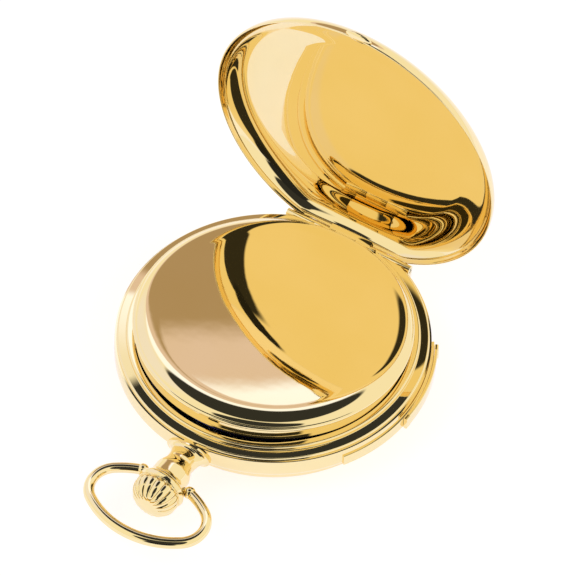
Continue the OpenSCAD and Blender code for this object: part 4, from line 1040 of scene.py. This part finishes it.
@dataclass
class Pendant(Part):
    """The neck that carries the bow and the winding stem."""

    root: float = 24.9
    foot_y: float = 27.6
    foot_r: float = 4.2
    foot_h: float = 2.4
    waist_r: float = 2.6
    waist_y: float = 30.3
    flare: float = 0.72
    flare_run: float = 2.6
    bell: tuple[Point, ...] = (
        (3.36, 33.8), (3.4, 34.4), (3.46, 34.8), (3.58, 35.1), (3.78, 35.32), (3.92, 35.44),
    )
    lip_r: float = 3.87
    lip_edge: float = 0.07
    end: float = 35.6

    def outline(self) -> list[Point]:
        """Gives the neck's half section along its own axis.

        Returns:
            The points from the root's middle to the end's middle.
        """
        run = self.waist_y - self.foot_y
        turns = [math.radians(90 * i / 20) for i in range(21)]
        fall = self.foot_r - self.waist_r
        slope = [
            (self.foot_r - fall * math.sin(t), self.foot_y + run * (1 - math.cos(t)))
            for t in turns
        ]
        shares = [i / 16 for i in range(1, 17)]
        sway = [
            (self.waist_r + self.flare * (1 - math.cos(math.pi * t)) / 2,
             self.waist_y + self.flare_run * t)
            for t in shares
        ]
        lip = arc((self.lip_r, self.end - self.lip_edge), self.lip_edge, 0, 90, 4)
        root = [(0, self.root), (self.foot_r, self.root)]
        return root + slope + sway + list(self.bell) + lip + [(0, self.end)]

    def build(self) -> Object:
        """Builds the neck, its foot pressed flat to the height of the band.

        Returns:
            The neck.
        """
        bm = turned(self.outline(), 128)
        for v in bm.verts:
            blend = smooth((v.co.z - self.foot_y) / (self.waist_y - self.foot_y))
            v.co.y *= (self.foot_h / self.foot_r) * (1 - blend) + blend
        stem = about_stem(self.watch)
        piece = Piece("pendant_neck", Body.CASE, "pendant")
        return piece.add(bm, stem).finish(self.gold)


@dataclass
class Crown(Part):
    """The fluted winding crown with its bell-shaped back."""

    start: float = 35.85
    back: tuple[Corner, ...] = (
        (0, 0, 0), (4.3, 0, 0.2), (4.46, 0.42, 0.24), (4.2, 1.0, 0.25), (4.02, 1.08, 0.06),
        (4.2, 1.4, 0.1),
    )
    side_r: float = 4.22
    side_h: float = 1.9
    side_power: float = 0.75
    end_h: float = 3.3
    end_power: float = 1.05
    flutes: int = 16
    depth: float = 0.3
    round_power: float = 0.7
    plain_h: float = 1.05
    plain_r: float = 1.2
    fade_h: float = 0.4
    fade_r: float = 1.6
    crease: float = 50.0

    def outline(self) -> list[Point]:
        """Gives the crown's half section from its back to its end.

        Returns:
            The points.
        """
        turns = [math.radians(90 * i / 40) for i in range(40)]
        round_end = [
            (self.side_r * math.cos(t) ** self.side_power,
             self.side_h + self.end_h * math.sin(t) ** self.end_power)
            for t in turns
        ]
        return filleted(self.back) + round_end + [(0, self.side_h + self.end_h)]

    def build(self) -> Object:
        """Builds the crown.

        Returns:
            The crown.
        """
        bm = turned(self.outline(), self.flutes * 16)
        for v in bm.verts:
            r = math.hypot(v.co.x, v.co.y)
            if v.co.z < self.plain_h or r < self.plain_r:
                continue
            swing = abs(math.sin(self.flutes * math.atan2(v.co.y, v.co.x) / 2))
            wave = swing**self.round_power
            up, out = (v.co.z - self.plain_h) / self.fade_h, (r - self.plain_r) / self.fade_r
            fade = min(1.0, up) * min(1.0, out)
            v.co.xy *= 1 - self.depth * fade * (1 - wave) / r
        lift = Matrix.Translation((0, 0, self.start))
        piece = Piece("crown_fluted", Body.CROWN, "crown")
        return piece.add(bm, about_stem(self.watch) @ lift).finish(self.gold, self.crease)


@dataclass
class Bow(Part):
    """The oval bow that swings on the pendant."""

    centre_y: float = -40.48
    wire_r: float = 1.0
    grow: float = 0.04
    thin_by: float = 0.14
    thick_to: float = -6.6
    thins_over: float = 12.4
    large_r: float = 15.3656
    side_x: float = 6.25
    mid_y: float = 8.7656
    join: float = 54.51
    open_x: float = 4.65
    eye: float = 0.1
    pin_r: float = 0.5
    pin_start: float = 2.3
    pin_edge: float = 0.03

    def wire(self) -> Shape:
        """Sweeps the wire round its five arcs, thinner at its ends.

        Returns:
            The wire, with its ends closed.
        """
        end = math.degrees(math.acos(self.open_x / self.large_r))
        bm = bmesh.new()
        made = bmesh.ops.create_circle(bm, segments=48, radius=self.wire_r)
        loop = list({e for v in made["verts"] for e in v.link_edges})
        stand = Matrix.Rotation(math.radians(90), 4, "X")
        start = Matrix.Translation((self.large_r, 0, 0)) @ stand
        bmesh.ops.transform(bm, matrix=start, verts=bm.verts)
        place = Matrix.Translation((0, -self.mid_y, 0)) @ Matrix.Rotation(math.radians(end), 4, "Z")
        bmesh.ops.transform(bm, matrix=place, verts=bm.verts)
        tip = ((0, -self.mid_y, 0), end - self.join, 14)
        runs = (
            tip, ((self.side_x, 0, 0), 2 * self.join, 48),
            ((0, self.mid_y, 0), 180 - 2 * self.join, 56),
            ((-self.side_x, 0, 0), 2 * self.join, 48), tip,
        )
        geom = loop + list(bm.verts)
        for centre, angle, steps in runs:
            spun = bmesh.ops.spin(
                bm, geom=geom, cent=centre, axis=(0, 0, -1), angle=math.radians(angle), steps=steps,
                use_merge=False,
            )
            geom = spun["geom_last"]
        bm.normal_update()
        bmesh.ops.recalc_face_normals(bm, faces=bm.faces)
        bm.normal_update()
        for v in bm.verts:
            share = min(1, max(0, (v.co.y - self.thick_to) / self.thins_over))
            v.co += v.normal * (self.grow - self.thin_by * share)
        rims = [e for e in bm.edges if len(e.link_faces) == 1]
        bmesh.ops.holes_fill(bm, edges=rims, sides=0)
        return bm

    def build(self) -> Object:
        """Builds the bow with its two eyes and pivots.

        Returns:
            The bow.
        """
        place = Matrix.Translation((0, self.centre_y, self.watch.stem))
        piece = Piece("bow_ring", Body.BOW, "bow")
        piece.add(self.wire(), place)
        rise = math.sqrt(self.large_r**2 - self.open_x**2) - self.mid_y
        for s in (-1, 1):
            ball = bmesh.new()
            size = self.wire_r + self.eye
            bmesh.ops.create_uvsphere(ball, u_segments=40, v_segments=24, radius=size)
            at = Vector((s * self.open_x, rise, 0))
            bmesh.ops.translate(ball, vec=at, verts=ball.verts)
            piece.add(ball, place)
            inner = Vector((s * self.pin_start, rise, 0))
            piece.add(rod(self.pin_r, inner, at, self.pin_edge), place)
        return piece.finish(self.gold)


@dataclass
class Slide(Part):
    """The repeating slide: its guide plate on the band and its grip."""

    rail_in: float = 27.06
    rail_out: float = 27.75
    rail_half: float = 1.15
    rail_edge: float = 0.16
    rail_from: float = -33.0
    rail_to: float = 31.5
    grip_out: float = 28.49
    grip_half: float = 1.3
    grip_edge: float = 0.22
    back_edge: float = 0.05
    grip_from: float = -5.5
    grip_to: float = 30.0
    play: float = 0.04
    lip_out: float = 0.12
    lip_run: float = 2.2
    lip_over: float = 0.02
    lip_edge: float = 0.25
    root_in: float = 0.1
    tongue_in: float = 22.4
    tongue_half: float = 0.35
    tongue_run: float = 8.0

    def plate(self) -> Object:
        """Builds the guide plate.

        Returns:
            The plate.
        """
        low, high = self.watch.stem - self.rail_half, self.watch.stem + self.rail_half
        outline = filleted([
            (self.rail_in, low, 0), (self.rail_out, low, self.rail_edge),
            (self.rail_out, high, self.rail_edge), (self.rail_in, high, 0),
        ])
        piece = Piece("slide_guide", Body.CASE, "slide_rail")
        return piece.add(sector(outline, self.rail_from, self.rail_to)).finish(self.gold)

    def grip(self) -> Object:
        """Builds the grip with a raised lip at each end.

        Returns:
            The grip.
        """
        z, inner = self.watch.stem, self.rail_out + self.play
        side, root = self.grip_out - self.lip_out, inner + self.root_in
        low, high = z - self.grip_half, z + self.grip_half
        outline, lip = (
            filleted([
                (near, low, self.back_edge), (far, low, edge), (far, high, edge),
                (near, high, self.back_edge),
            ])
            for near, far, edge in (
                (inner, side, self.grip_edge), (root, self.grip_out, self.lip_edge),
            )
        )
        piece = Piece("slide_grip", Body.SLIDE, "repeater_slide")
        piece.add(sector(outline, self.grip_from, self.grip_to))
        over, run = self.lip_over, self.lip_run
        piece.add(sector(lip, self.grip_from - over, self.grip_from + run))
        piece.add(sector(lip, self.grip_to - run, self.grip_to + over))
        low, high = z - self.tongue_half, z + self.tongue_half
        tongue = [(self.tongue_in, low), (root, low), (root, high), (self.tongue_in, high)]
        start = (self.grip_from + self.grip_to - self.tongue_run) / 2
        piece.add(sector(tongue, start, start + self.tongue_run))
        return piece.finish(self.gold)


# Studio


@dataclass
class Studio:
    """Floor, lights, camera, and the flags that mirrors see in the white surround."""

    azimuth: float = 0.532778
    elevation: float = 0.901362
    roll: float = 0.0195697
    distance: float = 1000.0
    scale: float = 5.825451
    across: float = 273.217
    down: float = 336.402
    aim_z: float = 9.3
    picture: float = 576.0
    sensor: float = 36.0
    lamps: tuple[tuple[str, float, float, float], ...] = (
        ("lamp_left", -38, 52, 0.72), ("lamp_right", 110, 40, 0.8),
    )
    lamp_far: float = 0.8
    lamp_side: float = 0.5
    soft_light: float = 0.5
    floor_half: float = 2.5
    floor_drop: float = 0.02
    paper: float = 0.62
    paper_seen: float = 0.66
    # Painted reflection: the floor glows to mirrors with this strength and this bluish tint, beyond
    # its own pale colour; the camera sees it white.
    mirror_glow: float = 0.68
    mirror_glow_tint: Shade = (0.95, 1, 1.35)
    flags: tuple[tuple[float, float, float, float, Shade], ...] = (
        (-95, 38, 24, 8, (0.96, 0.99, 1.3)),
        (-150, 46, 14, 2, (1.15, 1.3, 2.0)),
        (-150, 29, 20.4, 0.6, (0.8, 0.68, 0.78)),
        (-150, 29, 17.5, 0.8, (0.45, 0.34, 0.25)),
        (-150, 78, 24, 1.0, (0.035, 0.038, 0.045)),
        (22, 46, 27, 1.5, (0.035, 0.038, 0.045)),
        (17, 12, 16, 2, (0.02, 0.022, 0.028)),
    )

    def axes(self) -> tuple[Vector, Vector, Vector]:
        """Gives the picture's right, its up and the way back to the camera.

        Returns:
            The three unit vectors.
        """
        back = toward(self.azimuth, self.elevation)
        right = Vector((math.cos(self.azimuth), math.sin(self.azimuth), 0))
        up = back.cross(right)
        turn = math.cos(self.roll), math.sin(self.roll)
        return turn[0] * right + turn[1] * up, turn[0] * up - turn[1] * right, back

    def camera(self) -> Object:
        """Sets up the camera at the photograph's view.

        Returns:
            The camera.
        """
        right, up, back = self.axes()
        aim = Vector((0, 0, self.aim_z))
        eye = aim + back * self.distance
        half = self.picture / 2
        aside, above = (half - self.across) / self.scale, (self.down - half) / self.scale
        z = (eye - (aim + right * aside + up * above)).normalized()
        x = up.cross(z).normalized()
        y = z.cross(x)
        data = bpy.data.cameras.new("camera")
        data.sensor_width = self.sensor
        data.lens = self.sensor * self.distance * self.scale / self.picture
        data.clip_start, data.clip_end = 0.05, 20
        cam = placed("camera", data)
        turn = Matrix((x, y, z)).transposed().to_4x4()
        cam.matrix_world = Matrix.Translation(eye * MM) @ turn
        bpy.context.scene.camera = cam
        return cam

    def floor(self) -> Object:
        """Lays the pale floor.

        Returns:
            The floor.
        """
        bm = bmesh.new()
        bmesh.ops.create_grid(bm, x_segments=1, y_segments=1, size=self.floor_half)
        bmesh.ops.translate(bm, vec=(0, 0, -self.floor_drop * MM), verts=bm.verts)
        mesh = bpy.data.meshes.new("floor")
        bm.to_mesh(mesh)
        bm.free()
        floor = placed("floor", mesh)
        made = bpy.data.materials.new("floor_paper")
        made.use_nodes = True
        tree = made.node_tree
        paper = tree.nodes["Principled BSDF"]
        paper.inputs["Base Color"].default_value = (self.paper, self.paper, self.paper, 1)
        paper.inputs["Roughness"].default_value = 0.9
        paper.inputs["Specular IOR Level"].default_value = 0.0
        path = fed(tree, "ShaderNodeLightPath", {}).outputs
        camera, glossy = path["Is Camera Ray"], path["Is Glossy Ray"]
        seen = fed(tree, "ShaderNodeMath", {0: camera, 1: self.paper_seen}, operation="MULTIPLY")
        level = fed(
            tree, "ShaderNodeMath",
            {0: glossy, 1: self.mirror_glow, 2: seen.outputs["Value"]}, operation="MULTIPLY_ADD",
        )
        # Painted reflection: the floor glows bluish where mirrors see it, and white where the
        # camera sees it.
        shades = {"Factor": camera, "A": (*self.mirror_glow_tint, 1), "B": WHITE}
        tint = fed(tree, "ShaderNodeMix", shades, data_type="RGBA")
        lift = fed(tree, "ShaderNodeEmission", {
            "Strength": level.outputs["Value"], "Color": tint.outputs["Result"],
        })
        both = fed(tree, "ShaderNodeAddShader", {0: paper.outputs["BSDF"], 1: lift.outputs[0]})
        tree.links.new(both.outputs["Shader"], tree.nodes["Material Output"].inputs["Surface"])
        mesh.materials.append(made)
        return floor

    def world(self) -> None:
        """Gives a white surround with dark flags in it for mirrors, and an even soft light."""
        world = bpy.data.worlds.new("surround")
        world.use_nodes = True
        bpy.context.scene.world = world
        tree = world.node_tree
        soft = tree.nodes["Background"]
        soft.inputs["Color"].default_value = WHITE
        soft.inputs["Strength"].default_value = self.soft_light
        way = fed(tree, "ShaderNodeTexCoord", {}).outputs["Generated"]
        mirrored = fed(tree, "ShaderNodeBackground", {"Color": self.flagged(tree, way)})
        plain = fed(tree, "ShaderNodeBackground", {"Color": WHITE})
        path = fed(tree, "ShaderNodeLightPath", {}).outputs
        first = fed(
            tree, "ShaderNodeMath", {0: path["Is Camera Ray"], 1: path["Is Transmission Ray"]},
            operation="MAXIMUM",
        )
        inner = fed(tree, "ShaderNodeMixShader", {
            "Fac": path["Is Glossy Ray"], 1: soft.outputs[0], 2: mirrored.outputs[0],
        })
        outer = fed(tree, "ShaderNodeMixShader", {
            "Fac": first.outputs["Value"], 1: inner.outputs["Shader"], 2: plain.outputs[0],
        })
        tree.links.new(outer.outputs["Shader"], tree.nodes["World Output"].inputs["Surface"])

    def flagged(self, tree: Tree, way: Socket) -> Socket:
        """Lays round flags over white, each by its direction, size, softness and shade.

        Args:
            tree: The world's nodes.
            way: Direction that is looked in.

        Returns:
            The colour.
        """
        colour: Socket | tuple[float, ...] = WHITE
        for azimuth, elevation, size, soft, shade in self.flags:
            middle = toward(math.radians(azimuth), math.radians(elevation))
            dot = fed(tree, "ShaderNodeVectorMath", {0: way, 1: middle}, operation="DOT_PRODUCT")
            mask = fed(tree, "ShaderNodeMapRange", {
                "Value": dot.outputs["Value"],
                "From Min": math.cos(math.radians(size + soft)),
                "From Max": math.cos(math.radians(size - soft)),
            }, interpolation_type="SMOOTHSTEP")
            shades = {"Factor": mask.outputs["Result"], "A": colour, "B": (*shade, 1)}
            mix = fed(tree, "ShaderNodeMix", shades, data_type="RGBA")
            colour = mix.outputs["Result"]
        return colour

    def lamp(self, name: str, azimuth: float, elevation: float, power: float) -> Object:
        """Hangs a soft square lamp that looks at the watch.

        Args:
            name: Name of the lamp.
            azimuth: Its bearing in degrees, 0 over -Y and 90 over +X.
            elevation: Its height in degrees.
            power: Watts.

        Returns:
            The lamp.
        """
        way = toward(math.radians(azimuth), math.radians(elevation))
        data = bpy.data.lights.new(name, "AREA")
        data.shape = "SQUARE"
        data.size = self.lamp_side
        data.energy = power
        lamp = placed(name, data)
        turn = way.to_track_quat("Z", "Y").to_matrix().to_4x4()
        lamp.matrix_world = Matrix.Translation(way * self.lamp_far) @ turn
        lamp.visible_camera = False
        lamp.visible_glossy = False
        return lamp

    def build(self) -> None:
        """Sets the whole studio."""
        bpy.context.scene.view_settings.view_transform = "Standard"
        self.world()
        self.floor()
        self.camera()
        for lamp in self.lamps:
            self.lamp(*lamp)


def main() -> None:
    """Builds every piece in order."""
    logging.basicConfig(level=logging.INFO, format="%(name)s: %(message)s")
    wardrobe = Wardrobe.filled()
    wardrobe.dress()
    gold = wardrobe.made[Slot.GOLD]
    watch = Watch()
    for part in (Band, BackCover, InnerCover, FrontCover, Pendant, Crown, Bow):
        part(watch, gold).build()
    slide = Slide(watch, gold)
    slide.plate()
    slide.grip()
    Studio().build()


if __name__ == "__main__":
    main()
